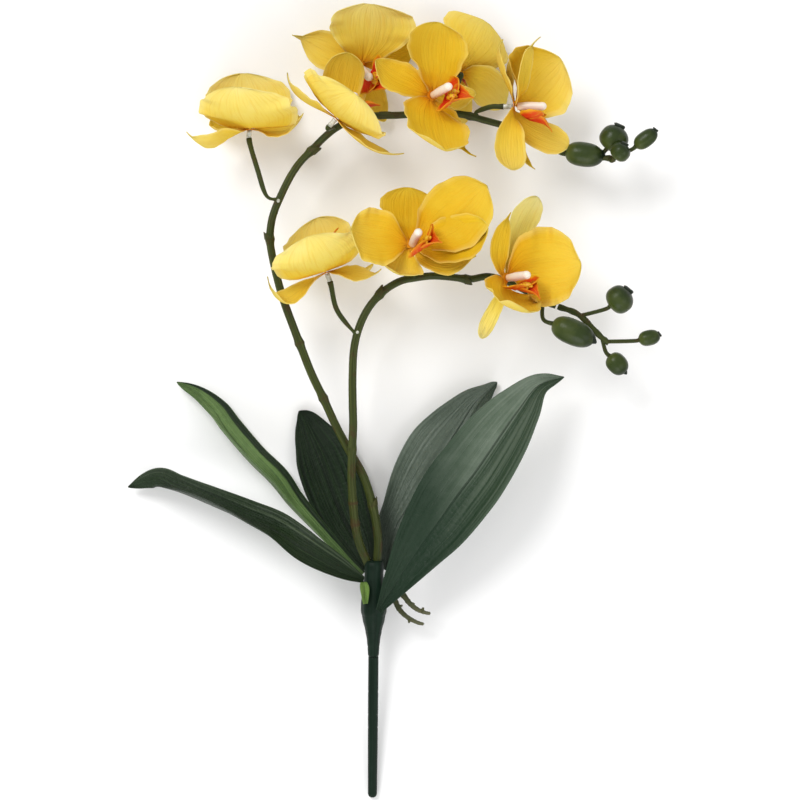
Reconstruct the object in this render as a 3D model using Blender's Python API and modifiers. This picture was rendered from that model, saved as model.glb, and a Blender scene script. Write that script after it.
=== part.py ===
"""Artificial moth orchid spray: two flower spikes, five leaves and a ground stake.

The spray lies on its back on a flat surface. +Y runs from the stake to the
flowers, +Z points away from the surface. All lengths are in metres.
"""

import math

import bmesh
import bpy
from mathutils import Vector

# Overall sizes of the laid-down spray
SPRAY_WIDTH = 0.327
SPRAY_LENGTH = 0.491
SPRAY_HEIGHT = 0.100
FLOWER_SPAN = 0.093
LEAF_SPREAD = 1.0

# The sizes the tables below were measured at
NOMINAL_WIDTH = 0.327
NOMINAL_LENGTH = 0.491
NOMINAL_HEIGHT = 0.100
NOMINAL_SPAN = 0.093

# Flower pieces
SHEET = 0.0006
LAYER_GAP = 0.0005
HUB_RADIUS = 0.0030
CLAW_HALF = 0.0024
COLUMN_RADIUS = 0.0027
COLUMN_LENGTH = 0.0180
LIP_OFFSET = 0.0066
LIP_RISE = 0.0048
SEPAL_LEAN = -0.14
LIP_SHEET = 0.0008
LIP_HUB = 0.0023
LIP_CLAW_HALF = 0.0011
OVERLAP_SHARE = 0.8

# Stems
STEM_RADIUS = 0.0027
TAIL_RADIUS = 0.0011
TAIL_DEPTH = 0.014
PEDICEL_RADIUS = 0.0016
FOOT_RADIUS = 0.0008

# Base
COLLAR_RADIUS = 0.0080
STAKE_RADIUS = 0.0032
TENON_RADIUS = 0.0019
TENON_DEPTH = 0.016
STAKE_TOP = 0.0565
FIT = 0.0004
LEAF_SHEET = 0.0012

SCALE_X = SPRAY_WIDTH / NOMINAL_WIDTH
SCALE_Y = SPRAY_LENGTH / NOMINAL_LENGTH
SCALE_Z = SPRAY_HEIGHT / NOMINAL_HEIGHT
BLOOM = FLOWER_SPAN / NOMINAL_SPAN

# Outlines: share of the length, share of the half width
PETAL_OUTLINE = (
    (0.00, 0.00), (0.14, 0.34), (0.30, 0.80), (0.48, 1.00),
    (0.68, 0.95), (0.85, 0.70), (0.95, 0.40), (1.00, 0.00),
)
SEPAL_OUTLINE = (
    (0.00, 0.00), (0.18, 0.52), (0.38, 0.92), (0.58, 1.00),
    (0.78, 0.74), (0.92, 0.34), (1.00, 0.00),
)
LIP_OUTLINE = ((0.00, 0.00), (0.30, 0.40), (0.60, 1.00), (0.85, 0.72), (1.00, 0.00))


def at(x, y, z):
    return Vector((x * SCALE_X, y * SCALE_Y, z * SCALE_Z))


def lobe(azimuth, tip, width, roll=0.0, bow=-0.006, cup=0.5, twist=0.0, lean=15.0, over=False):
    return dict(
        azimuth=math.radians(azimuth), tip=Vector(tip), width=width,
        roll=math.radians(roll), bow=bow, cup=cup,
        twist=math.radians(twist), lean=math.radians(lean), over=over,
    )


# Each flower: hub position, facing, dorsal direction, two petals, three sepals,
# lip turn in degrees, and the pedicel route from the spike to the hub
FLOWERS = {
    "f1": dict(
        hub=(-0.0940, 0.1690, 0.0292), facing=(0.0, 0.98, 0.19), dorsal=(1.0, 0.0, 0.0),
        petals=(
            lobe(80, (-0.006, 0.022, 0.038), 0.060),
            lobe(-80, (-0.005, 0.036, -0.028), 0.056),
        ),
        sepals=(
            lobe(0, (0.034, 0.009, 0.014), 0.026, roll=34),
            lobe(150, (-0.039, -0.002, 0.006), 0.022, roll=35, bow=-0.010),
            lobe(-140, (-0.024, 0.010, -0.028), 0.022),
        ),
        foot=(-0.0818, 0.1265, 0.043), via=((-0.0885, 0.1430, 0.038),),
    ),
    "f2": dict(
        hub=(-0.0395, 0.1740, 0.054), facing=(0.64, 0.77, 0.12), dorsal=(-0.77, 0.64, 0.0),
        petals=(
            lobe(-80, (0.012, 0.011, 0.036), 0.062),
            lobe(80, (0.007, 0.040, -0.004), 0.030, roll=-55),
        ),
        sepals=(
            lobe(0, (-0.030, 0.028, 0.004), 0.022, roll=10),
            lobe(-150, (0.042, -0.022, 0.006), 0.020, roll=10),
            lobe(140, (0.020, 0.002, -0.002), 0.018),
        ),
        foot=(-0.0415, 0.1690, 0.0432), via=(),
    ),
    "f3": dict(
        hub=(-0.0255, 0.2090, 0.022), facing=(0.35, -0.45, 0.82), dorsal=(-0.91, 0.41, 0.3),
        petals=(
            lobe(80, (0.006, 0.038, 0.014), 0.056, bow=-0.002),
            lobe(-80, (-0.019, -0.020, 0.000), 0.036, bow=-0.002),
        ),
        sepals=(
            lobe(0, (-0.040, 0.018, 0.004), 0.024),
            lobe(135, (0.034, 0.014, -0.015), 0.026),
            lobe(-135, (0.016, -0.034, -0.010), 0.020),
        ),
        foot=(-0.0290, 0.1745, 0.0348),
        via=((-0.0290, 0.1765, 0.0200), (-0.0290, 0.1850, 0.0090), (-0.0285, 0.1990, 0.0062)),
    ),
    "f4": dict(
        hub=(0.0190, 0.1870, 0.058), facing=(0.60, 0.30, 0.74), dorsal=(-0.82, 0.57, 0.4),
        petals=(
            lobe(75, (0.004, 0.046, -0.004), 0.049),
            lobe(-84, (0.008, -0.035, 0.026), 0.053),
        ),
        sepals=(
            lobe(0, (-0.034, 0.022, 0.006), 0.028),
            lobe(135, (0.028, 0.004, -0.018), 0.020),
            lobe(-150, (0.028, -0.037, 0.002), 0.024),
        ),
        foot=(0.0155, 0.1785, 0.0430), via=(),
    ),
    "f5": dict(
        hub=(0.0705, 0.1815, 0.052), facing=(1.0, 0.0, 0.15), dorsal=(0.0, 1.0, 0.0),
        petals=(
            lobe(-50, (0.015, 0.042, 0.010), 0.016, roll=-25, lean=35),
            lobe(52, (0.028, 0.030, -0.006), 0.056, roll=-50),
        ),
        sepals=(
            lobe(0, (-0.007, 0.041, 0.006), 0.022, roll=10),
            lobe(-125, (-0.001, -0.040, 0.010), 0.022, roll=60),
            lobe(145, (0.034, -0.0245, -0.010), 0.020, roll=40),
            lobe(20, (0.003, 0.036, -0.012), 0.014, roll=20, over=True),
            lobe(170, (0.013, -0.039, 0.002), 0.012, roll=30, over=True),
        ),
        foot=(0.0475, 0.1782, 0.0424), via=((0.0560, 0.1815, 0.048),),
    ),
    "f6": dict(
        hub=(-0.0455, 0.0790, 0.048), facing=(-0.33, 0.94, 0.10), dorsal=(-0.94, -0.33, 0.0),
        petals=(
            lobe(-80, (-0.010, 0.020, 0.031), 0.060),
            lobe(80, (-0.006, 0.034, -0.026), 0.050),
        ),
        sepals=(
            lobe(0, (-0.034, -0.004, 0.015), 0.020, roll=-30, bow=-0.016),
            lobe(-140, (0.032, 0.002, 0.010), 0.020, roll=20),
            lobe(140, (0.028, 0.006, -0.024), 0.022),
        ),
        foot=(-0.0290, 0.0430, 0.044), via=((-0.0392, 0.0560, 0.046),),
    ),
    "f7": dict(
        hub=(0.0070, 0.0950, 0.060), facing=(0.23, 0.43, 0.87), dorsal=(-0.1, 0.9, -0.4),
        petals=(
            lobe(-80, (-0.037, 0.008, 0.016), 0.042),
            lobe(66, (0.046, 0.037, -0.004), 0.046),
            lobe(100, (0.047, 0.011, 0.002), 0.034, over=True),
        ),
        sepals=(
            lobe(0, (-0.002, 0.037, -0.018), 0.038),
            lobe(135, (0.040, -0.006, -0.003), 0.026),
            lobe(-135, (-0.007, -0.018, 0.012), 0.030),
        ),
        lip_turn=52.0,
        foot=(0.0085, 0.0790, 0.0450), via=(),
    ),
    "f8": dict(
        hub=(0.0650, 0.0750, 0.058), facing=(0.72, 0.10, 0.68), dorsal=(-0.25, 0.95, 0.1),
        petals=(
            lobe(70, (0.046, 0.009, -0.002), 0.052),
            lobe(-110, (0.012, -0.022, 0.022), 0.046),
        ),
        sepals=(
            lobe(-25, (0.003, 0.040, 0.014), 0.013, roll=-40, bow=-0.008),
            lobe(50, (0.020, 0.051, -0.010), 0.024),
            lobe(-150, (-0.015, -0.037, 0.000), 0.010, roll=40),
        ),
        foot=(0.0570, 0.0760, 0.0435), via=(),
    ),
    "f9": dict(
        hub=(0.0360, 0.2030, 0.030), facing=(-0.22, 0.22, -0.95), dorsal=(-0.75, 0.66, 0.0),
        petals=(
            lobe(-80, (0.018, 0.033, -0.012), 0.050),
            lobe(80, (-0.022, -0.020, -0.018), 0.044),
        ),
        sepals=(
            lobe(0, (-0.026, 0.018, -0.006), 0.022),
            lobe(-135, (0.031, -0.018, -0.0295), 0.026),
            lobe(135, (-0.002, -0.034, -0.014), 0.020),
        ),
        foot=(0.0300, 0.1800, 0.0350), via=((0.0330, 0.1900, 0.036),),
    ),
}

# Flower spikes, from the collar to the last flower stalk
SPIKE_A = (
    (-0.0142, -0.1006, 0.0270), (-0.0137, -0.0874, 0.0290), (-0.0162, -0.0699, 0.0305),
    (-0.0224, -0.0486, 0.0315), (-0.0330, -0.0293, 0.0320), (-0.0402, -0.0156, 0.0330),
    (-0.0473, 0.0000, 0.0345), (-0.0548, 0.0156, 0.0360), (-0.0609, 0.0311, 0.0375),
    (-0.0668, 0.0466, 0.0385), (-0.0724, 0.0621, 0.0400), (-0.0764, 0.0764, 0.0410),
    (-0.0795, 0.0906, 0.0420), (-0.0807, 0.1005, 0.0425), (-0.0797, 0.1104, 0.0430),
    (-0.0776, 0.1179, 0.0430), (-0.0745, 0.1253, 0.0430), (-0.0710, 0.1328, 0.0430),
    (-0.0670, 0.1402, 0.0430), (-0.0618, 0.1477, 0.0425), (-0.0546, 0.1552, 0.0415),
    (-0.0475, 0.1627, 0.0405), (-0.0398, 0.1690, 0.0395), (-0.0298, 0.1741, 0.0385),
    (-0.0174, 0.1766, 0.0380), (0.0000, 0.1772, 0.0380), (0.0186, 0.1784, 0.0385),
    (0.0373, 0.1777, 0.0395), (0.0528, 0.1738, 0.0400), (0.0683, 0.1694, 0.0390),
    (0.0837, 0.1631, 0.0370), (0.0942, 0.1575, 0.0370),
)
SPIKE_B = (
    (-0.0206, -0.1006, 0.0270), (-0.0259, -0.0873, 0.0320), (-0.0286, -0.0716, 0.0355),
    (-0.0301, -0.0497, 0.0385), (-0.0298, -0.0311, 0.0400), (-0.0292, -0.0155, 0.0410),
    (-0.0295, 0.0000, 0.0415), (-0.0295, 0.0155, 0.0420), (-0.0285, 0.0323, 0.0430),
    (-0.0248, 0.0465, 0.0430), (-0.0186, 0.0583, 0.0430), (-0.0099, 0.0676, 0.0425),
    (0.0000, 0.0736, 0.0420), (0.0093, 0.0757, 0.0415), (0.0199, 0.0770, 0.0410),
    (0.0311, 0.0764, 0.0400), (0.0435, 0.0752, 0.0395), (0.0547, 0.0768, 0.0390),
    (0.0659, 0.0740, 0.0390), (0.0807, 0.0665, 0.0405), (0.0900, 0.0611, 0.0420),
    (0.0968, 0.0586, 0.0430),
)

# Bud sprays: a main stalk, then each bud's stalk route, length and radius
BUDS_A = dict(
    stalk=(
        (0.0952, 0.1570, 0.0372), (0.1040, 0.1530, 0.0385), (0.1256, 0.1505, 0.0410),
        (0.1336, 0.1497, 0.0430),
    ),
    buds=(
        ((0.0965, 0.1563, 0.0376), (0.0975, 0.1550, 0.0385), (0.1265, 0.1508, 0.0410), 0.0078),
        ((0.1270, 0.1504, 0.0415), (0.1262, 0.1530, 0.0390), (0.1378, 0.1690, 0.0410), 0.0090),
        ((0.1300, 0.1500, 0.0420), (0.1312, 0.1480, 0.0480), (0.1400, 0.1575, 0.0520), 0.0062),
        ((0.1300, 0.1500, 0.0420), (0.1430, 0.1550, 0.0440), (0.1590, 0.1668, 0.0460), 0.0050),
    ),
)
BUDS_B = dict(
    stalk=(
        (0.0980, 0.0580, 0.0435), (0.1110, 0.0527, 0.0450), (0.1239, 0.0397, 0.0460),
        (0.1295, 0.0353, 0.0460),
    ),
    buds=(
        ((0.0990, 0.0576, 0.0440), (0.0890, 0.0490, 0.0530), (0.1198, 0.0362, 0.0560), 0.0082),
        ((0.1116, 0.0522, 0.0450), (0.1270, 0.0562, 0.0460), (0.1425, 0.0668, 0.0490), 0.0088),
        ((0.1285, 0.0362, 0.0460), (0.1450, 0.0366, 0.0460), (0.1612, 0.0400, 0.0460), 0.0048),
        ((0.1252, 0.0384, 0.0460), (0.1275, 0.0300, 0.0450), (0.1398, 0.0170, 0.0440), 0.0062),
    ),
)

# Leaves: centre line, half width, roll in degrees (0 lies flat), channel depth
LEAVES = {
    "leaf_1": (
        (-0.0225, -0.1125, 0.0300, 0.0025, 50, 0.0008), (-0.0368, -0.1055, 0.0360, 0.0085, 42, 0.0030),
        (-0.0580, -0.0935, 0.0410, 0.0130, 45, 0.0040), (-0.0767, -0.0804, 0.0375, 0.0150, 62, 0.0050),
        (-0.0967, -0.0711, 0.0300, 0.0160, 72, 0.0050), (-0.1213, -0.0606, 0.0250, 0.0150, 73, 0.0045),
        (-0.1410, -0.0533, 0.0180, 0.0115, 62, 0.0030), (-0.1539, -0.0496, 0.0125, 0.0075, 35, 0.0015),
        (-0.1712, -0.0548, 0.0080, 0.0015, 20, 0.0000),
    ),
    "leaf_2": (
        (-0.0232, -0.1089, 0.0210, 0.0025, 55, 0.0008), (-0.0344, -0.0989, 0.0205, 0.0050, 60, 0.0018),
        (-0.0520, -0.0802, 0.0225, 0.0095, 73, 0.0030), (-0.0677, -0.0626, 0.0215, 0.0135, 75, 0.0045),
        (-0.0783, -0.0489, 0.0185, 0.0145, 68, 0.0050), (-0.0922, -0.0351, 0.0170, 0.0140, 65, 0.0045),
        (-0.1074, -0.0176, 0.0140, 0.0120, 60, 0.0040), (-0.1156, -0.0063, 0.0115, 0.0095, 53, 0.0030),
        (-0.1265, 0.0038, 0.0085, 0.0055, 42, 0.0015), (-0.1405, 0.0113, 0.0060, 0.0015, 30, 0.0000),
    ),
    "leaf_3": (
        (-0.0207, -0.1066, 0.0130, 0.0030, 0, 0.0005), (-0.0245, -0.0923, 0.0095, 0.0110, 0, 0.0030),
        (-0.0333, -0.0741, 0.0070, 0.0165, 0, 0.0045), (-0.0409, -0.0541, 0.0060, 0.0190, 0, 0.0045),
        (-0.0481, -0.0352, 0.0055, 0.0180, 0, 0.0040), (-0.0542, -0.0227, 0.0050, 0.0130, 0, 0.0030),
        (-0.0592, -0.0126, 0.0045, 0.0075, 0, 0.0010), (-0.0637, -0.0069, 0.0040, 0.0015, 0, 0.0000),
    ),
    "leaf_4": (
        (-0.0131, -0.1314, 0.0340, 0.0020, 0, 0.0005), (-0.0012, -0.1121, 0.0350, 0.0093, -5, 0.0030),
        (0.0128, -0.0908, 0.0370, 0.0167, -8, 0.0055), (0.0236, -0.0758, 0.0390, 0.0208, -9, 0.0065),
        (0.0354, -0.0587, 0.0410, 0.0232, -10, 0.0070), (0.0465, -0.0438, 0.0425, 0.0233, -11, 0.0070),
        (0.0608, -0.0230, 0.0430, 0.0208, -12, 0.0060), (0.0736, -0.0053, 0.0420, 0.0152, -14, 0.0040),
        (0.0858, 0.0090, 0.0395, 0.0075, -16, 0.0015), (0.1021, 0.0143, 0.0360, 0.0015, -16, 0.0000),
    ),
    "leaf_5": (
        (-0.0094, -0.1066, 0.0160, 0.0030, 0, 0.0005), (-0.0038, -0.0825, 0.0160, 0.0110, 0, 0.0030),
        (0.0038, -0.0687, 0.0155, 0.0155, 0, 0.0045), (0.0144, -0.0518, 0.0140, 0.0210, 0, 0.0055),
        (0.0270, -0.0327, 0.0115, 0.0230, 0, 0.0055), (0.0377, -0.0160, 0.0090, 0.0180, 0, 0.0050),
        (0.0463, -0.0028, 0.0070, 0.0110, 0, 0.0030), (0.0554, 0.0063, 0.0050, 0.0045, 0, 0.0010),
        (0.0611, 0.0113, 0.0040, 0.0015, 0, 0.0000),
    ),
    "sheath": (
        (-0.0215, -0.1270, 0.0335, 0.0015, 20, 0.0002), (-0.0218, -0.1220, 0.0345, 0.0035, 20, 0.0010),
        (-0.0222, -0.1170, 0.0345, 0.0032, 20, 0.0010), (-0.0232, -0.1135, 0.0340, 0.0010, 20, 0.0000),
    ),
}

# Collar and stake stations along the axis, with the share of the radius
AXIS_TOP = (-0.0162, -0.1050, 0.0270)
AXIS_END = (-0.0174, -0.2502, 0.0028)
COLLAR_STATIONS = (
    (0.000, 0.68), (0.004, 0.72), (0.014, 0.86), (0.023, 0.98), (0.027, 0.98),
    (0.033, 0.84), (0.039, 0.66), (0.046, 0.51), (0.052, 0.45), (0.0552, 0.43), (0.0560, 0.40),
)
STAKE_STATIONS = (
    (0.0566, 1.00), (0.0820, 1.00), (0.1100, 0.97), (0.1300, 0.92), (0.1450, 0.89),
    (0.1468, 0.74), (0.1474, 0.42),
)

ROOTS = {
    "root_1": ((-0.0072, -0.1215, 0.0215), (-0.0035, -0.1250, 0.0200), (-0.0005, -0.1310, 0.0200),
               (0.0045, -0.1360, 0.0190), (0.0110, -0.1395, 0.0180), (0.0150, -0.1405, 0.0175)),
    "root_2": ((-0.0068, -0.1180, 0.0270), (0.0010, -0.1210, 0.0275), (0.0060, -0.1270, 0.0260),
               (0.0110, -0.1310, 0.0250), (0.0160, -0.1330, 0.0240), (0.0190, -0.1335, 0.0235)),
}
ROOT_RADIUS = 0.0014


def clear_scene():
    for item in list(bpy.data.objects):
        bpy.data.objects.remove(item, do_unlink=True)


def material(name, colour, roughness):
    made = bpy.data.materials.new(name)
    made.use_nodes = True
    shader = made.node_tree.nodes["Principled BSDF"]
    shader.inputs["Base Color"].default_value = (*colour, 1.0)
    shader.inputs["Roughness"].default_value = roughness
    return made


def smooth(value):
    value = min(1.0, max(0.0, value))
    return value * value * (3.0 - 2.0 * value)


def across(vector, axis):
    return (vector - axis * vector.dot(axis)).normalized()


def spline(points, count):
    """Evenly numbered Catmull-Rom stations through the given points."""
    points = [Vector(p) for p in points]
    ends = [points[0] * 2 - points[1]] + points + [points[-1] * 2 - points[-2]]
    spans = len(points) - 1
    out = []
    for i in range(count + 1):
        place = i * spans / count
        k = min(int(place), spans - 1)
        u = place - k
        a, b, c, d = ends[k:k + 4]
        out.append(0.5 * (2 * b + (c - a) * u + (2 * a - 5 * b + 4 * c - d) * u * u
                          + (3 * b - a - 3 * c + d) * u * u * u))
    return out


def finish(name, mesh_data, colour_key, home, sheet=0.0):
    mesh = bpy.data.meshes.new(name)
    mesh_data.to_mesh(mesh)
    mesh_data.free()
    for face in mesh.polygons:
        face.use_smooth = True
    item = bpy.data.objects.new(name, mesh)
    home.objects.link(item)
    mesh.materials.append(SHADES[colour_key])
    if sheet:
        shell = item.modifiers.new("thickness", "SOLIDIFY")
        shell.thickness = sheet
        shell.offset = 0.0
    return item


def tube(name, route, radii, sides, shade, home):
    """A round stem: a poly curve with its own radius at each point."""
    curve = bpy.data.curves.new(name, "CURVE")
    curve.dimensions = "3D"
    curve.bevel_depth = max(radii)
    curve.bevel_resolution = (sides - 4) // 2
    curve.use_fill_caps = True
    line = curve.splines.new("POLY")
    line.points.add(len(route) - 1)
    for knot, place, radius in zip(line.points, route, radii):
        knot.co = (*place, 1.0)
        knot.radius = radius / max(radii)
    curve.materials.append(SHADES[shade])
    item = bpy.data.objects.new(name, curve)
    home.objects.link(item)
    return item


def as_mesh(item, home):
    """The same stem as a welded mesh, so that it can be cut or joined."""
    view = bpy.context.evaluated_depsgraph_get()
    mesh = bpy.data.meshes.new_from_object(item.evaluated_get(view))
    data = bmesh.new()
    data.from_mesh(mesh)
    bmesh.ops.remove_doubles(data, verts=data.verts, dist=0.00001)
    data.to_mesh(mesh)
    data.free()
    mesh.shade_smooth()
    name = item.name
    place = item.matrix_world.copy()
    bpy.data.objects.remove(item, do_unlink=True)
    solid = bpy.data.objects.new(name, mesh)
    solid.matrix_world = place
    home.objects.link(solid)
    return solid


def turned(name, stations, start, end, steps, shade, home):
    """A turned piece: (distance, radius) stations along the line from start to end."""
    data = bmesh.new()
    profile = [(stations[0][0], 0.0)] + list(stations) + [(stations[-1][0], 0.0)]
    verts = [data.verts.new((radius, 0.0, -distance)) for distance, radius in profile]
    for a, b in zip(verts, verts[1:]):
        data.edges.new((a, b))
    mesh = bpy.data.meshes.new(name)
    data.to_mesh(mesh)
    data.free()
    mesh.materials.append(SHADES[shade])
    item = bpy.data.objects.new(name, mesh)
    home.objects.link(item)
    item.location = start
    item.rotation_euler = (start - end).to_track_quat("Z", "Y").to_euler()
    spin = item.modifiers.new("turn", "SCREW")
    spin.steps = steps
    spin.render_steps = steps
    spin.use_smooth_shade = True
    spin.use_merge_vertices = True
    spin.merge_threshold = 0.00001
    return item


def add_grid(data, grid):
    for low, high in zip(grid, grid[1:]):
        if len(high) == 1:
            for a, b in zip(low, low[1:]):
                data.faces.new((a, b, high[0]))
        else:
            for k in range(len(low) - 1):
                data.faces.new((low[k], low[k + 1], high[k + 1], high[k]))


def lobe_rows(centre, facing, dorsal, spec, outline, cols, hub, claw):
    """Rows of points over one petal, from the hub edge to the tip."""
    right = dorsal.cross(facing)
    out = right * math.sin(spec["azimuth"]) + dorsal * math.cos(spec["azimuth"])
    start = centre + out * hub
    end = centre + spec["tip"] * BLOOM
    chord = end - start
    line = chord.normalized()
    face = across(facing, line)
    face = face * math.cos(spec["roll"]) + line.cross(face) * math.sin(spec["roll"])
    lean = spec["lean"]
    first = start + (out * math.cos(lean) + facing * math.sin(lean)) * chord.length * 0.28
    second = start + chord * 0.66 + face * spec["bow"] * BLOOM * 2.0
    rows = []
    for s, share in outline:
        r = 1.0 - s
        point = start * r ** 3 + first * (3 * r * r * s) + second * (3 * r * s * s) + end * s ** 3
        along = (first - start) * (r * r) + (second - first) * (2 * r * s) + (end - second) * (s * s)
        along.normalize()
        normal = across(facing.lerp(face, smooth(s / 0.45)), along)
        turn = spec["twist"] * s
        side = along.cross(normal)
        normal = normal * math.cos(turn) + side * math.sin(turn)
        side = along.cross(normal)
        half = claw + (spec["width"] * BLOOM / 2 - claw) * share
        if share == 0.0 and s > 0.5:
            rows.append([point])
            continue
        bend = max(0.01, spec["cup"] * smooth(s / 0.35))
        row = []
        for k in range(cols + 1):
            u = 1.0 - 2.0 * k / cols
            row.append(point + side * (half * math.sin(bend * u) / bend)
                       + normal * (half * (1 - math.cos(bend * u)) / bend))
        rows.append(row)
    return rows


def lobed_sheet(name, centre, facing, dorsal, specs, outline, cols, hub, claw, sheet, shade,
                home, tools=None):
    """A thin sheet: lobes joined round a small flat hub. A lobe that lies over
    its neighbours is a slightly thinner wedge from the hub's middle, joined to the rest."""
    wedges = []
    for spec in (item for item in specs if item["over"]):
        wedge = bmesh.new()
        grid = [[wedge.verts.new(p) for p in row]
                for row in lobe_rows(centre, facing, dorsal, spec, outline, cols, hub, claw)]
        add_grid(wedge, [list(reversed(row)) for row in grid])
        middle = wedge.verts.new(centre)
        for a, b in zip(grid[0], grid[0][1:]):
            wedge.faces.new((middle, a, b))
        bmesh.ops.recalc_face_normals(wedge, faces=wedge.faces)
        wedges.append(finish(f"{name}_over_{len(wedges)}", wedge, shade, tools, sheet * OVERLAP_SHARE))
    specs = [item for item in specs if not item["over"]]
    data = bmesh.new()
    middle = data.verts.new(centre)
    grids = []
    for spec in sorted(specs, key=lambda item: item["azimuth"] % (2 * math.pi)):
        rows = lobe_rows(centre, facing, dorsal, spec, outline, cols, hub, claw)
        grid = [[data.verts.new(p) for p in row] for row in rows]
        add_grid(data, grid)
        grids.append(grid)
    loop = [vert for grid in grids for vert in reversed(grid[0])]
    for a, b in zip(loop, loop[1:] + loop[:1]):
        data.faces.new((middle, a, b))
    bmesh.ops.recalc_face_normals(data, faces=data.faces)
    return join_all(finish(name, data, shade, home, sheet), wedges)


def leaf(name, stations, home, cols=6):
    """A strap leaf with a shallow channel, closed by its own thickness."""
    count = 11
    lines = spline([at(*row[:3]) for row in stations], count)
    extra = spline([Vector((row[3] * LEAF_SPREAD, row[4] * 0.001, row[5])) for row in stations], count)
    data = bmesh.new()
    grid = []
    for i, point in enumerate(lines):
        along = (lines[min(i + 1, count)] - lines[max(i - 1, 0)]).normalized()
        half = max(0.0012, extra[i].x)
        roll = math.radians(extra[i].y * 1000)
        up = across(Vector((0.0, 0.0, 1.0)), along)
        side = along.cross(up)
        normal = up * math.cos(roll) + side * math.sin(roll)
        side = along.cross(normal)
        row = []
        for k in range(cols + 1):
            u = 2.0 * k / cols - 1.0
            sag = extra[i].z * (u * u - 0.45) + extra[i].z * 0.35 * (abs(u) - 0.5)
            row.append(data.verts.new(point + side * half * u + normal * sag))
        grid.append(row)
    add_grid(data, grid)
    bmesh.ops.recalc_face_normals(data, faces=data.faces)
    return finish(name, data, "leaf" if name != "sheath" else "sheath", home, LEAF_SHEET)


def round_tip(route, radius, foot):
    """Radii for a stem that starts thin, then keeps one radius to its end."""
    count = len(route) - 1
    return [foot + (radius - foot) * smooth(i * 4.0 / count) for i in range(count + 1)]


def bud_body(name, points, radius, home):
    """One bud on its own stalk, swept as one body."""
    start, bend, end = (at(*p) for p in points)
    line = end - bend
    route = spline([start, bend, bend + line * 0.18], 3)
    radii = [PEDICEL_RADIUS * 0.8] * len(route)
    shape = ((0.08, 0.52), (0.24, 0.90), (0.46, 1.00), (0.68, 0.86), (0.86, 0.50), (1.00, 0.16))
    base = bend + line * 0.18
    for share, size in shape:
        route.append(base + (end - base) * share)
        radii.append(radius * size)
    return as_mesh(tube(name, route, radii, 8, "bud", home), home)


def join_all(first, others):
    for other in others:
        hide(other)
        union = first.modifiers.new("join", "BOOLEAN")
        union.operation = "UNION"
        union.solver = "EXACT"
        union.object = other
    return first


def axis_point(distance):
    top, end = at(*AXIS_TOP), at(*AXIS_END)
    return top + (end - top).normalized() * distance


def bore(target, name, start, end, radius, home):
    """Cut a round blind hole in the target, between two points on its axis."""
    bpy.ops.mesh.primitive_cylinder_add(vertices=16, radius=radius, depth=(end - start).length)
    cutter = bpy.context.active_object
    cutter.name = name
    cutter.location = (start + end) / 2
    cutter.rotation_euler = (end - start).to_track_quat("Z", "Y").to_euler()
    for group in list(cutter.users_collection):
        group.objects.unlink(cutter)
    home.objects.link(cutter)
    hide(cutter)
    cut = target.modifiers.new(name, "BOOLEAN")
    cut.operation = "DIFFERENCE"
    cut.solver = "EXACT"
    cut.object = cutter


def hide(helper):
    helper.hide_render = True
    helper.display_type = "WIRE"


def spike(name, points, count, tail_to, home):
    route = spline([at(*p) for p in points], count)
    radii = [STEM_RADIUS * (1.0 - 0.22 * i / count) for i in range(count + 1)]
    neck = route[0] + (route[0] - route[1]).normalized() * 0.0003
    route = [tail_to, neck] + route
    radii = [TAIL_RADIUS, TAIL_RADIUS] + radii
    return tube(name, route, radii, 8, "stem", home)


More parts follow.
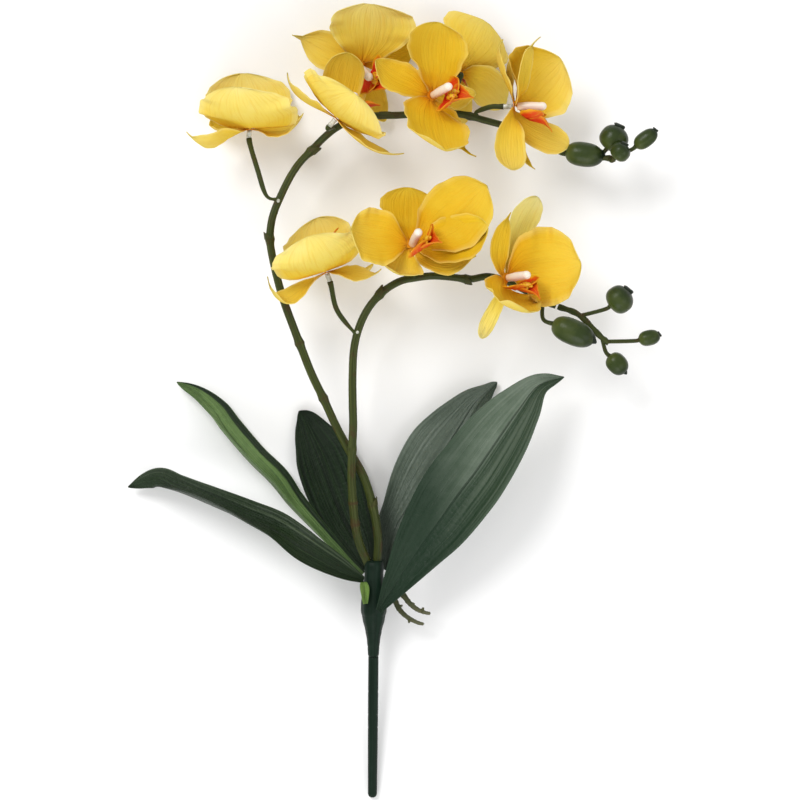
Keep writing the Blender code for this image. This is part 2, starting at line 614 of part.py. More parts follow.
def build():
    clear_scene()
    home = bpy.data.collections.new("orchid_spray")
    tools = bpy.data.collections.new("cutters")
    bpy.context.scene.collection.children.link(home)
    bpy.context.scene.collection.children.link(tools)
    made = []

    level = Vector((1.0, 0.0, 0.0))
    seat_a = axis_point(TAIL_DEPTH) + level * 0.0024
    seat_b = axis_point(TAIL_DEPTH) - level * 0.0024
    made.append(spike("spike_a", SPIKE_A, 38, seat_a, home))
    made.append(spike("spike_b", SPIKE_B, 28, seat_b, home))

    collar = turned("collar", [(d, COLLAR_RADIUS * share) for d, share in COLLAR_STATIONS],
                    axis_point(0.0), at(*AXIS_END), 16, "stake", home)
    for tag, seat, points in (("bore_a", seat_a, SPIKE_A), ("bore_b", seat_b, SPIKE_B)):
        mouth = at(*points[0])
        line = (mouth - seat).normalized()
        bore(collar, tag, seat - line * FIT, mouth + line * 0.002, TAIL_RADIUS + FIT, tools)
    bore(collar, "socket", axis_point(STAKE_TOP - TENON_DEPTH), axis_point(STAKE_TOP + 0.002),
         TENON_RADIUS + FIT, tools)
    made.append(collar)
    profile = [(STAKE_TOP - TENON_DEPTH + FIT, TENON_RADIUS), (STAKE_TOP, TENON_RADIUS)]
    reach = (at(*AXIS_END) - at(*AXIS_TOP)).length - STAKE_TOP
    plain = STAKE_STATIONS[-1][0] - STAKE_TOP
    profile += [(STAKE_TOP + (d - STAKE_TOP) * reach / plain, STAKE_RADIUS * share)
                for d, share in STAKE_STATIONS]
    made.append(turned("stake", profile, axis_point(0.0), at(*AXIS_END), 12, "stake", home))

    for name, stations in LEAVES.items():
        made.append(leaf(name, stations, home, 6 if name != "sheath" else 4))
    for name, points in ROOTS.items():
        route = spline([at(*p) for p in points], 10)
        radii = [ROOT_RADIUS * (1.0 - 0.7 * i / 10) for i in range(11)]
        made.append(tube(name, route, radii, 6, "root", home))

    for name, spray in (("buds_a", BUDS_A), ("buds_b", BUDS_B)):
        route = spline([at(*p) for p in spray["stalk"]], 8)
        main = as_mesh(tube(name, route, [STEM_RADIUS * 0.7] * 9, 8, "bud", home), home)
        parts = []
        for k, (start, bend, end, radius) in enumerate(spray["buds"]):
            parts.append(bud_body(f"{name}_{k}", (start, bend, end), radius, tools))
        made.append(join_all(main, parts))

    for name, flower in FLOWERS.items():
        centre = at(*flower["hub"])
        facing = Vector(flower["facing"]).normalized()
        dorsal = across(Vector(flower["dorsal"]), facing)
        step = SHEET + LAYER_GAP
        for spec in flower["sepals"]:
            spec["lean"] = SEPAL_LEAN
        made.append(lobed_sheet(f"{name}_sepals", centre, facing, dorsal, flower["sepals"],
                                SEPAL_OUTLINE, 2, HUB_RADIUS, CLAW_HALF * 0.8, SHEET, "petal", home, tools))
        made.append(lobed_sheet(f"{name}_petals", centre + facing * step, facing, dorsal, flower["petals"],
                                PETAL_OUTLINE, 4, HUB_RADIUS, CLAW_HALF, SHEET, "petal", home, tools))
        base = centre + facing * (step + SHEET + LAYER_GAP)
        shape = ((1.0, 0.40), (0.96, 0.78), (0.86, 1.0), (0.55, 1.0), (0.0, 0.80))
        column = [((1.0 - s) * COLUMN_LENGTH, COLUMN_RADIUS * share) for s, share in shape]
        made.append(turned(f"{name}_column", column, base + facing * COLUMN_LENGTH, base, 8, "column", home))
        turn = math.radians(flower.get("lip_turn", 0.0))
        right = dorsal.cross(facing)
        back = dorsal * math.cos(turn) - right * math.sin(turn)
        lip_face = (back * 0.93 + facing * 0.36).normalized()
        lip_up = across(facing, lip_face)
        lip_side = lip_up.cross(lip_face)
        lip_centre = base - back * LIP_OFFSET + facing * LIP_RISE
        lobes = (
            lobe(0, lip_up * 0.0190 - lip_face * 0.0030, 0.0150, cup=1.0, bow=0.002, lean=-8),
            lobe(80, lip_side * 0.0092 + lip_face * 0.0066 + lip_up * 0.0094, 0.0130, cup=0.45, bow=-0.002),
            lobe(-80, lip_side * -0.0092 + lip_face * 0.0066 + lip_up * 0.0094, 0.0130, cup=0.45, bow=-0.002),
        )
        made.append(lobed_sheet(f"{name}_lip", lip_centre, lip_face, lip_up, lobes,
                                LIP_OUTLINE, 2, LIP_HUB, LIP_CLAW_HALF, LIP_SHEET, "lip", home))
        foot = [at(*flower["foot"])] + [at(*p) for p in flower["via"]]
        foot += [centre - facing * 0.008, centre - facing * (SHEET / 2 + LAYER_GAP)]
        route = spline(foot, 8)
        made.append(tube(f"{name}_pedicel", route, round_tip(route, PEDICEL_RADIUS, FOOT_RADIUS), 6,
                         "stem", home))

    seat_model(made)


def seat_model(made):
    """Move everything so the box is centred on X and Y and rests on Z = 0."""
    bpy.context.view_layer.update()
    view = bpy.context.evaluated_depsgraph_get()
    low = Vector((9.0, 9.0, 9.0))
    high = -low
    for item in made:
        shape = item.evaluated_get(view).to_mesh()
        for vert in shape.vertices:
            place = item.matrix_world @ vert.co
            low = Vector(map(min, low, place))
            high = Vector(map(max, high, place))
        item.evaluated_get(view).to_mesh_clear()
    root = bpy.data.objects.new("root_frame", None)
    bpy.context.scene.collection.objects.link(root)
    root.location = (-(low.x + high.x) / 2, -(low.y + high.y) / 2, -low.z)
    for item in bpy.data.objects:
        if item != root and item.parent is None:
            item.parent = root
    bpy.context.view_layer.update()


SHADES = {}


def main():
    palette = {
        "petal": ((0.83, 0.55, 0.02), 0.55), "lip": ((0.75, 0.11, 0.02), 0.5),
        "column": ((0.80, 0.68, 0.60), 0.35), "stem": ((0.07, 0.10, 0.02), 0.5),
        "stake": ((0.01, 0.05, 0.03), 0.45), "leaf": ((0.02, 0.07, 0.03), 0.4),
        "sheath": ((0.20, 0.40, 0.06), 0.5), "bud": ((0.06, 0.11, 0.03), 0.4),
        "root": ((0.19, 0.19, 0.09), 0.6),
    }
    for key, (colour, roughness) in palette.items():
        SHADES[key] = material(key, colour, roughness)
    build()


main()
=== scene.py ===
"""Looks for the artificial moth orchid spray, lying on its back and seen from above.

The finer pieces follow the centre lines and sizes of the solids in the frame.
+Y runs from the stake to the flowers. All lengths are in metres.
"""

import random
from math import atan2, cos, exp, pi, radians, sin, sqrt

import bpy
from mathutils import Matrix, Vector


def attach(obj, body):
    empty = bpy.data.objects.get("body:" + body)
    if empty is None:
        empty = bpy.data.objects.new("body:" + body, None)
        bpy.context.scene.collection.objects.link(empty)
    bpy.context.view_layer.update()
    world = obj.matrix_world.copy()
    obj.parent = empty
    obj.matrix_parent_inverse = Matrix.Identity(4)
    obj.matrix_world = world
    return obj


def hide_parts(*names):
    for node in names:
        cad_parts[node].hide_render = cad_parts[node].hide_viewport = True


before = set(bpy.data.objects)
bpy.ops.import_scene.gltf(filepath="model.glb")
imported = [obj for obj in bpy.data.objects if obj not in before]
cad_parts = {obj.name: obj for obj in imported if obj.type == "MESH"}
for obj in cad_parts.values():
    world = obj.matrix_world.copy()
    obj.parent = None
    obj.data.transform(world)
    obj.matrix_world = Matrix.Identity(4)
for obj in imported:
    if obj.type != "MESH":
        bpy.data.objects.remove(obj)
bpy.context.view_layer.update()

# Where the tables' origin lies in the frame
ORIGIN = Vector((0.00516, 0.00186, -0.00038))

# Flower pieces
SHEET = 0.0006
LAYER_GAP = 0.0005
HUB_RADIUS = 0.003
CLAW_HALF = 0.0024
COLUMN_RADIUS = 0.0027
COLUMN_LENGTH = 0.018
LIP_OFFSET = 0.0066
LIP_RISE = 0.0048
LIP_HUB = 0.0023
LIP_CLAW_HALF = 0.0012
SEPAL_LEAN = -0.14
LIP_SHEET = 0.0007

# Stems
STEM_RADIUS = 0.0027
PEDICEL_RADIUS = 0.0016
FOOT_RADIUS = 0.0009
SLEEVE_LENGTH = 0.0062
BRACT_SHEET = 0.0004
BRACT_TONE = 0.55

# Base
COLLAR_RADIUS = 0.008
STAKE_RADIUS = 0.0032
LEAF_SHEET = 0.001
ROOT_RADIUS = 0.002

# Rows and columns of the sheets
SEPAL_GRID = (26, 14)
PETAL_GRID = (34, 26)
LIP_GRID = (22, 14)
BRACT_GRID = (12, 8)

# How a lobe's curve runs: row crowding towards the tip, shares of the chord for its bends
ROW_CROWDING = 1.7
FIRST_BEND = 0.28
SECOND_BEND = 0.66
GROOVE_DEPTH = 0.0007
FOLD_DEPTH = 0.00025
PHASE_RANGE = 6.28

# Leaf relief
RIB_DEPTH = 0.0006
VEIN_DEPTH = 0.0001

# Stations along each swept piece
SPIKE_STEPS = 240
STALK_STEPS = 30
COLUMN_STEPS = 26
BUD_STEPS = 26
ROOT_STEPS = 40
TURNED_STEPS = 120

# Camera and floor
CAMERA_HEIGHT = 2.5
CAMERA_LENS = 178.2
SENSOR_WIDTH = 36.0
FLOOR_HALF = 6.0
FLOOR_GAP = 0.0002

# Outlines: share of the length, share of the half width
OUTLINES = {
    "petal": ((0.0, 0.0), (0.13, 0.36), (0.29, 0.82), (0.47, 1.0), (0.67, 0.97),
              (0.83, 0.82), (0.94, 0.54), (1.0, 0.0)),
    "fan": ((0.0, 0.1), (0.08, 0.5), (0.22, 0.92), (0.42, 1.0), (0.66, 0.92),
            (0.85, 0.7), (0.95, 0.42), (1.0, 0.0)),
    "blunt": ((0.0, 0.0), (0.18, 0.42), (0.4, 0.82), (0.62, 1.0), (0.8, 0.98),
              (0.92, 0.76), (0.97, 0.5), (1.0, 0.0)),
    "sepal": ((0.0, 0.0), (0.18, 0.52), (0.38, 0.92), (0.58, 1.0), (0.78, 0.8),
              (0.92, 0.44), (1.0, 0.0)),
    "tongue": ((0.0, 0.0), (0.14, 0.48), (0.3, 0.84), (0.45, 1.0), (0.62, 0.82),
               (0.8, 0.46), (1.0, 0.0)),
    "wing": ((0.0, 0.1), (0.2, 0.72), (0.45, 1.0), (0.7, 0.96), (0.88, 0.72), (1.0, 0.0)),
}


def at(x, y, z):
    return Vector((x, y, z)) + ORIGIN


def lobe(azimuth, tip, width, roll=0.0, bow=-0.006, cup=0.5, twist=0.0, lean=15.0, **trim):
    """One petal: where it points, its tip from the hub, its width, and how it bends."""
    return dict(
        azimuth=radians(azimuth), tip=Vector(tip), width=width,
        roll=radians(roll), bow=bow, cup=cup,
        twist=radians(twist), lean=radians(lean), **trim,
    )


# Each flower: hub position, facing, dorsal direction, petals, sepals, any lip turn in
# degrees, and its stalk: the foot on the spike and any bends on the way to the hub
FLOWERS = {
    "f1": dict(
        hub=(-0.094, 0.169, 0.0292), facing=(0.0, 0.98, 0.19), dorsal=(1.0, 0.0, 0.0),
        petals=(
            lobe(80, (-0.006, 0.022, 0.038), 0.066, outline="fan", tone=1.0, tilt=-0.45, wave=0.0018),
            lobe(-80, (-0.005, 0.036, -0.028), 0.058, tone=0.7, wave=0.0016),
        ),
        sepals=(
            lobe(0, (0.034, 0.009, 0.014), 0.026, roll=34, tone=0.45, nib=0.1),
            lobe(150, (-0.039, -0.002, 0.006), 0.022, roll=35, bow=-0.01, tone=0.45, nib=0.08),
            lobe(-140, (-0.024, 0.01, -0.028), 0.022),
        ),
        foot=(-0.0818, 0.1265, 0.043), via=((-0.0885, 0.143, 0.038),),
    ),
    "f2": dict(
        hub=(-0.0395, 0.174, 0.054), facing=(0.64, 0.77, 0.12), dorsal=(-0.77, 0.64, 0.0),
        petals=(
            lobe(-80, (0.012, 0.011, 0.036), 0.066, outline="fan", tone=0.7, wave=0.0016),
            lobe(80, (0.007, 0.04, -0.004), 0.028, roll=-55, outline="blunt", tone=0.15, wave=0.0004),
        ),
        sepals=(
            lobe(0, (-0.03, 0.028, 0.004), 0.022, roll=10, tone=0.55, nib=0.12),
            lobe(-150, (0.042, -0.022, 0.006), 0.018, roll=10, tone=0.35, nib=0.16),
            lobe(140, (0.02, 0.002, -0.002), 0.018),
        ),
        foot=(-0.0415, 0.169, 0.0432),
    ),
    "f3": dict(
        hub=(-0.0255, 0.209, 0.022), facing=(0.35, -0.45, 0.82), dorsal=(-0.91, 0.41, 0.3),
        petals=(
            lobe(80, (0.006, 0.038, 0.014), 0.06, bow=-0.002, outline="blunt", tone=0.62, skew=0.1,
                 wave=0.002),
            lobe(-80, (-0.019, -0.02, 0.0), 0.036, bow=-0.002),
        ),
        sepals=(
            lobe(0, (-0.042, 0.019, 0.004), 0.026, tone=0.6, nib=0.14),
            lobe(135, (0.034, 0.014, -0.015), 0.028, outline="blunt", tone=0.05),
            lobe(-135, (0.016, -0.034, -0.01), 0.02),
        ),
        foot=(-0.029, 0.1745, 0.0348),
        via=((-0.029, 0.1765, 0.02), (-0.029, 0.185, 0.009), (-0.0285, 0.199, 0.0062)),
    ),
    "f4": dict(
        hub=(0.019, 0.187, 0.058), facing=(0.6, 0.3, 0.74), dorsal=(-0.82, 0.57, 0.4),
        petals=(
            lobe(75, (0.004, 0.046, -0.004), 0.049, outline="blunt", tone=0.05, wave=0.0012),
            lobe(-84, (0.008, -0.035, 0.026), 0.053, outline="petal", tone=0.08, wave=0.0014),
        ),
        sepals=(
            lobe(0, (-0.034, 0.022, 0.006), 0.028, tone=0.12),
            lobe(135, (0.028, 0.004, -0.018), 0.02),
            lobe(-150, (0.028, -0.037, 0.002), 0.024, tone=0.05, nib=0.2),
        ),
        foot=(0.0155, 0.1785, 0.043),
    ),
    "f5": dict(
        hub=(0.0705, 0.1815, 0.052), facing=(1.0, 0.0, 0.15), dorsal=(0.0, 1.0, 0.0),
        petals=(
            lobe(-50, (0.015, 0.042, 0.01), 0.016, roll=-25, lean=35, tone=0.3, nib=0.16, wave=0.0008),
            lobe(52, (0.028, 0.03, -0.006), 0.056, roll=-50, tone=0.25, tilt=0.25),
        ),
        sepals=(
            lobe(0, (-0.007, 0.041, 0.006), 0.022, roll=10, tone=0.2, nib=0.1),
            lobe(-125, (-0.001, -0.04, 0.01), 0.022, roll=60, outline="blunt", tone=0.3),
            lobe(145, (0.034, -0.0245, -0.01), 0.021, roll=40, outline="blunt", tone=0.35),
            lobe(20, (0.003, 0.036, -0.012), 0.014, roll=20, outline="blunt", tone=0.75),
            lobe(170, (0.013, -0.039, 0.002), 0.012, roll=30, tone=0.05, nib=0.06),
        ),
        foot=(0.0475, 0.1782, 0.0424), via=((0.056, 0.1815, 0.048),),
    ),
    "f6": dict(
        hub=(-0.0455, 0.079, 0.048), facing=(-0.33, 0.94, 0.1), dorsal=(-0.94, -0.33, 0.0),
        petals=(
            lobe(-80, (-0.01, 0.02, 0.031), 0.062, outline="fan", tone=1.0, tilt=0.15, wave=0.0018),
            lobe(80, (-0.006, 0.034, -0.026), 0.05, tone=0.55, wave=0.0018),
        ),
        sepals=(
            lobe(0, (-0.036, -0.003, 0.017), 0.02, roll=-30, bow=-0.018, tone=0.4, nib=0.08),
            lobe(-140, (0.034, 0.002, 0.01), 0.02, roll=20, tone=0.45, nib=0.14),
            lobe(140, (0.028, 0.006, -0.024), 0.022, tone=0.3),
        ),
        foot=(-0.029, 0.043, 0.044), via=((-0.0392, 0.056, 0.046),),
    ),
    "f7": dict(
        hub=(0.007, 0.095, 0.06), facing=(0.23, 0.43, 0.87), dorsal=(-0.1, 0.9, -0.4),
        petals=(
            lobe(-80, (-0.037, 0.008, 0.016), 0.042, tone=0.18, wave=0.0016),
            lobe(66, (0.046, 0.037, -0.004), 0.046, tone=0.1, wave=0.002, skew=0.05),
            lobe(100, (0.047, 0.011, 0.001), 0.034, tone=0.06, wave=0.0012),
        ),
        sepals=(
            lobe(0, (-0.002, 0.037, -0.018), 0.038, outline="blunt", tone=0.05),
            lobe(135, (0.04, -0.006, -0.003), 0.026, tone=0.25, nib=0.06),
            lobe(-135, (-0.007, -0.018, 0.012), 0.03, outline="blunt", tone=0.35),
        ),
        lip_turn=52.0,
        foot=(0.0085, 0.079, 0.045),
    ),
    "f8": dict(
        hub=(0.065, 0.075, 0.058), facing=(0.72, 0.1, 0.68), dorsal=(-0.25, 0.95, 0.1),
        petals=(
            lobe(70, (0.046, 0.009, -0.002), 0.052, tone=0.12, wave=0.0028, pitch=3.1),
            lobe(-110, (0.013, -0.021, 0.021), 0.051, tone=0.12, wave=0.0014),
        ),
        sepals=(
            lobe(-25, (0.003, 0.04, 0.014), 0.013, roll=-40, bow=-0.01, tone=0.1, nib=0.14),
            lobe(50, (0.02, 0.051, -0.01), 0.024, outline="blunt", tone=1.0),
            lobe(-150, (-0.015, -0.037, 0.0), 0.01, roll=40, outline="blunt", tone=1.0),
        ),
        foot=(0.057, 0.076, 0.0435),
    ),
    "f9": dict(
        hub=(0.036, 0.203, 0.03), facing=(-0.22, 0.22, -0.95), dorsal=(-0.75, 0.66, 0.0),
        petals=(
            lobe(-80, (0.018, 0.034, -0.012), 0.052, outline="blunt", tone=0.25),
            lobe(80, (-0.022, -0.02, -0.018), 0.044),
        ),
        sepals=(
            lobe(0, (-0.026, 0.018, -0.006), 0.022),
            lobe(-135, (0.031, -0.018, -0.0295), 0.026, tone=0.45, nib=0.05),
            lobe(135, (-0.002, -0.034, -0.014), 0.02),
        ),
        foot=(0.03, 0.18, 0.035), via=((0.033, 0.19, 0.036),),
    ),
}

# Flower spikes, from the collar to the bud spray
SPIKE_A = (
    (-0.0142, -0.1006, 0.027), (-0.0137, -0.0874, 0.029), (-0.0162, -0.0699, 0.0305),
    (-0.0224, -0.0486, 0.0315), (-0.033, -0.0293, 0.032), (-0.0402, -0.0156, 0.033),
    (-0.0473, 0.0, 0.0345), (-0.0548, 0.0156, 0.036), (-0.0609, 0.0311, 0.0375),
    (-0.0668, 0.0466, 0.0385), (-0.0724, 0.0621, 0.04), (-0.0764, 0.0764, 0.041),
    (-0.0795, 0.0906, 0.042), (-0.0807, 0.1005, 0.0425), (-0.0797, 0.1104, 0.043),
    (-0.0776, 0.1179, 0.043), (-0.0745, 0.1253, 0.043), (-0.071, 0.1328, 0.043),
    (-0.067, 0.1402, 0.043), (-0.0618, 0.1477, 0.0425), (-0.0546, 0.1552, 0.0415),
    (-0.0475, 0.1627, 0.0405), (-0.0398, 0.169, 0.0395), (-0.0298, 0.1741, 0.0385),
    (-0.0174, 0.1766, 0.038), (0.0, 0.1772, 0.038), (0.0186, 0.1784, 0.0385),
    (0.0373, 0.1777, 0.0395), (0.0528, 0.1738, 0.04), (0.0683, 0.1694, 0.039),
    (0.0837, 0.1631, 0.037), (0.0942, 0.1575, 0.037),
)
SPIKE_B = (
    (-0.0206, -0.1006, 0.027), (-0.0259, -0.0873, 0.032), (-0.0286, -0.0716, 0.0355),
    (-0.0301, -0.0497, 0.0385), (-0.0298, -0.0311, 0.04), (-0.0292, -0.0155, 0.041),
    (-0.0295, 0.0, 0.0415), (-0.0295, 0.0155, 0.042), (-0.0285, 0.0323, 0.043),
    (-0.0248, 0.0465, 0.043), (-0.0186, 0.0583, 0.043), (-0.0099, 0.0676, 0.0425),
    (0.0, 0.0736, 0.042), (0.0093, 0.0757, 0.0415), (0.0199, 0.077, 0.041),
    (0.0311, 0.0764, 0.04), (0.0435, 0.0752, 0.0395), (0.0547, 0.0768, 0.039),
    (0.0659, 0.074, 0.039), (0.0807, 0.0665, 0.0405), (0.09, 0.0611, 0.042),
    (0.0968, 0.0586, 0.043),
)

# Bud sprays: a main stalk, then each bud's stalk route, length and radius
BUDS_A = dict(
    stalk=((0.0952, 0.157, 0.0372), (0.104, 0.153, 0.0385), (0.1256, 0.1505, 0.041),
           (0.1336, 0.1497, 0.043)),
    buds=(
        ((0.0965, 0.1563, 0.0376), (0.0975, 0.155, 0.0385), (0.1265, 0.1508, 0.041), 0.0078),
        ((0.127, 0.1504, 0.0415), (0.1262, 0.153, 0.039), (0.1378, 0.169, 0.041), 0.009),
        ((0.13, 0.15, 0.042), (0.1312, 0.148, 0.048), (0.14, 0.1575, 0.052), 0.0062),
        ((0.13, 0.15, 0.042), (0.143, 0.155, 0.044), (0.159, 0.1668, 0.046), 0.005),
    ),
)
BUDS_B = dict(
    stalk=((0.098, 0.058, 0.0435), (0.111, 0.0527, 0.045), (0.1239, 0.0397, 0.046),
           (0.1295, 0.0353, 0.046)),
    buds=(
        ((0.0885, 0.0615, 0.0438), (0.0885, 0.05, 0.0525), (0.1198, 0.0362, 0.056), 0.0082),
        ((0.1116, 0.0522, 0.045), (0.127, 0.0562, 0.046), (0.1425, 0.0668, 0.049), 0.0088),
        ((0.1285, 0.0362, 0.046), (0.145, 0.0366, 0.046), (0.1612, 0.04, 0.046), 0.0048),
        ((0.1252, 0.0384, 0.046), (0.1275, 0.03, 0.045), (0.1398, 0.017, 0.044), 0.0062),
    ),
)

# Leaves: centre line, half width, roll in degrees (0 lies flat), channel depth
LEAVES = {
    "leaf_1": (
        (-0.0225, -0.1125, 0.03, 0.0025, 50, 0.0008), (-0.0368, -0.1055, 0.036, 0.0085, 42, 0.003),
        (-0.058, -0.0935, 0.041, 0.013, 45, 0.004), (-0.0767, -0.0804, 0.0375, 0.015, 62, 0.005),
        (-0.0967, -0.0711, 0.03, 0.016, 72, 0.005), (-0.1213, -0.0606, 0.025, 0.015, 73, 0.0045),
        (-0.141, -0.0533, 0.018, 0.0115, 62, 0.003), (-0.1539, -0.0496, 0.0125, 0.0075, 35, 0.0015),
        (-0.1712, -0.0548, 0.008, 0.0015, 20, 0.0),
    ),
    "leaf_2": (
        (-0.0232, -0.1089, 0.021, 0.0025, 55, 0.0008), (-0.0344, -0.0989, 0.0205, 0.005, 60, 0.0018),
        (-0.052, -0.0802, 0.0225, 0.0095, 73, 0.003), (-0.0677, -0.0626, 0.0215, 0.0135, 75, 0.0045),
        (-0.0783, -0.0489, 0.0185, 0.0145, 68, 0.005), (-0.0922, -0.0351, 0.017, 0.014, 65, 0.0045),
        (-0.1074, -0.0176, 0.014, 0.012, 60, 0.004), (-0.1156, -0.0063, 0.0115, 0.0095, 53, 0.003),
        (-0.1265, 0.0038, 0.0085, 0.0055, 42, 0.0015), (-0.1405, 0.0113, 0.006, 0.0015, 30, 0.0),
    ),
    "leaf_3": (
        (-0.0207, -0.1066, 0.013, 0.003, 0, 0.0005), (-0.0245, -0.0923, 0.0095, 0.011, 0, 0.003),
        (-0.0333, -0.0741, 0.007, 0.0165, 0, 0.0045), (-0.0409, -0.0541, 0.006, 0.019, 0, 0.0045),
        (-0.0481, -0.0352, 0.0055, 0.018, 0, 0.004), (-0.0542, -0.0227, 0.005, 0.013, 0, 0.003),
        (-0.0592, -0.0126, 0.0045, 0.0075, 0, 0.001), (-0.0637, -0.0069, 0.004, 0.0015, 0, 0.0),
    ),
    "leaf_4": (
        (-0.0131, -0.1314, 0.034, 0.002, 0, 0.0005), (-0.0012, -0.1121, 0.035, 0.0093, -5, 0.003),
        (0.0128, -0.0908, 0.037, 0.0167, -8, 0.0055), (0.0236, -0.0758, 0.039, 0.0208, -9, 0.0065),
        (0.0354, -0.0587, 0.041, 0.0232, -10, 0.007), (0.0465, -0.0438, 0.0425, 0.0233, -11, 0.007),
        (0.0608, -0.023, 0.043, 0.0208, -12, 0.006), (0.0736, -0.0053, 0.042, 0.0152, -14, 0.004),
        (0.0858, 0.009, 0.0395, 0.0075, -16, 0.0015), (0.1021, 0.0143, 0.036, 0.0015, -16, 0.0),
    ),
    "leaf_5": (
        (-0.0094, -0.1066, 0.016, 0.003, 0, 0.0005), (-0.0038, -0.0825, 0.016, 0.011, 0, 0.003),
        (0.0038, -0.0687, 0.0155, 0.0155, 0, 0.0045), (0.0144, -0.0518, 0.014, 0.021, 0, 0.0055),
        (0.027, -0.0327, 0.0115, 0.023, 0, 0.0055), (0.0377, -0.016, 0.009, 0.018, 0, 0.005),
        (0.0463, -0.0028, 0.007, 0.011, 0, 0.003), (0.0554, 0.0063, 0.005, 0.0045, 0, 0.001),
        (0.0611, 0.0113, 0.004, 0.0015, 0, 0.0),
    ),
    "sheath": (
        (-0.0215, -0.127, 0.0335, 0.0015, 20, 0.0002), (-0.0218, -0.122, 0.0345, 0.0024, 20, 0.001),
        (-0.0222, -0.117, 0.0345, 0.003, 20, 0.001), (-0.0228, -0.1135, 0.034, 0.0022, 20, 0.0004),
    ),
}

# Collar and stake: distance along the axis from its top, share of the radius
AXIS_TOP = (-0.0162, -0.105, 0.027)
AXIS_END = (-0.0174, -0.2502, 0.0028)
COLLAR_STATIONS = (
    (-0.005, 0.52), (-0.0044, 0.66), (-0.0025, 0.74), (0.0, 0.76), (0.004, 0.72), (0.014, 0.86),
    (0.023, 0.98), (0.027, 0.98),
    (0.033, 0.84), (0.039, 0.66), (0.046, 0.51), (0.052, 0.45), (0.0552, 0.43), (0.056, 0.4),
)
STAKE_STATIONS = (
    (0.0566, 1.0), (0.082, 1.0), (0.11, 0.97), (0.13, 0.92), (0.145, 0.89),
    (0.1468, 0.74), (0.1474, 0.42),
)

ROOTS = {
    "root_1": ((-0.0072, -0.1215, 0.0215), (-0.0035, -0.125, 0.02), (-0.0005, -0.131, 0.02),
               (0.0045, -0.136, 0.019), (0.011, -0.1395, 0.018), (0.015, -0.1405, 0.0175)),
    "root_2": ((-0.0068, -0.118, 0.027), (0.001, -0.121, 0.0275), (0.006, -0.127, 0.026),
               (0.011, -0.131, 0.025), (0.016, -0.133, 0.024), (0.019, -0.1335, 0.0235)),
}


def smooth(value):
    value = min(1.0, max(0.0, value))
    return value * value * (3.0 - 2.0 * value)


def across(vector, axis):
    return (vector - axis * vector.dot(axis)).normalized()


def spline(points, count):
    """Evenly numbered Catmull-Rom stations through the given points."""
    points = [Vector(p) for p in points]
    ends = [points[0] * 2 - points[1]] + points + [points[-1] * 2 - points[-2]]
    spans = len(points) - 1
    out = []
    for i in range(count + 1):
        place = i * spans / count
        k = min(int(place), spans - 1)
        u = place - k
        a, b, c, d = ends[k:k + 4]
        out.append(0.5 * (2 * b + (c - a) * u + (2 * a - 5 * b + 4 * c - d) * u * u
                          + (3 * b - a - 3 * c + d) * u * u * u))
    return out


def grid_faces(rows, cols):
    """Quads over rows and columns of points."""
    width = cols + 1
    cells = [(i * width + k, (i + 1) * width + k) for i in range(rows) for k in range(cols)]
    return [(low, high, high + 1, low + 1) for low, high in cells]


def pointed_faces(rows, cols):
    """Quads over rows of points, closed by triangles to one last point."""
    last = (rows - 1) * (cols + 1)
    tip = rows * (cols + 1)
    return grid_faces(rows - 1, cols) + [(last + k, tip, last + k + 1) for k in range(cols)]


def outline_share(table, s, nib):
    """Half width at s as a share of the widest, with a rounded end and a thin nib."""
    body = 1.0 - nib
    t = min(1.0, s / body)
    stations = [(Vector((a, b, b * b))) for a, b in table]
    for low, high in zip(stations, stations[1:]):
        if t <= high.x:
            k = (t - low.x) / (high.x - low.x)
            plain = low.y + (high.y - low.y) * smooth(k) * 0.4 + (high.y - low.y) * k * 0.6
            squared = sqrt(max(0.0, low.z + (high.z - low.z) * k))
            mix = smooth((t - 0.4) / 0.3)
            share = plain * (1 - mix) + squared * mix
            break
    if nib:
        share = max(share, 0.13 * min(1.0, (1.0 - s) / nib) if s > 0.6 else 0.0)
    return share


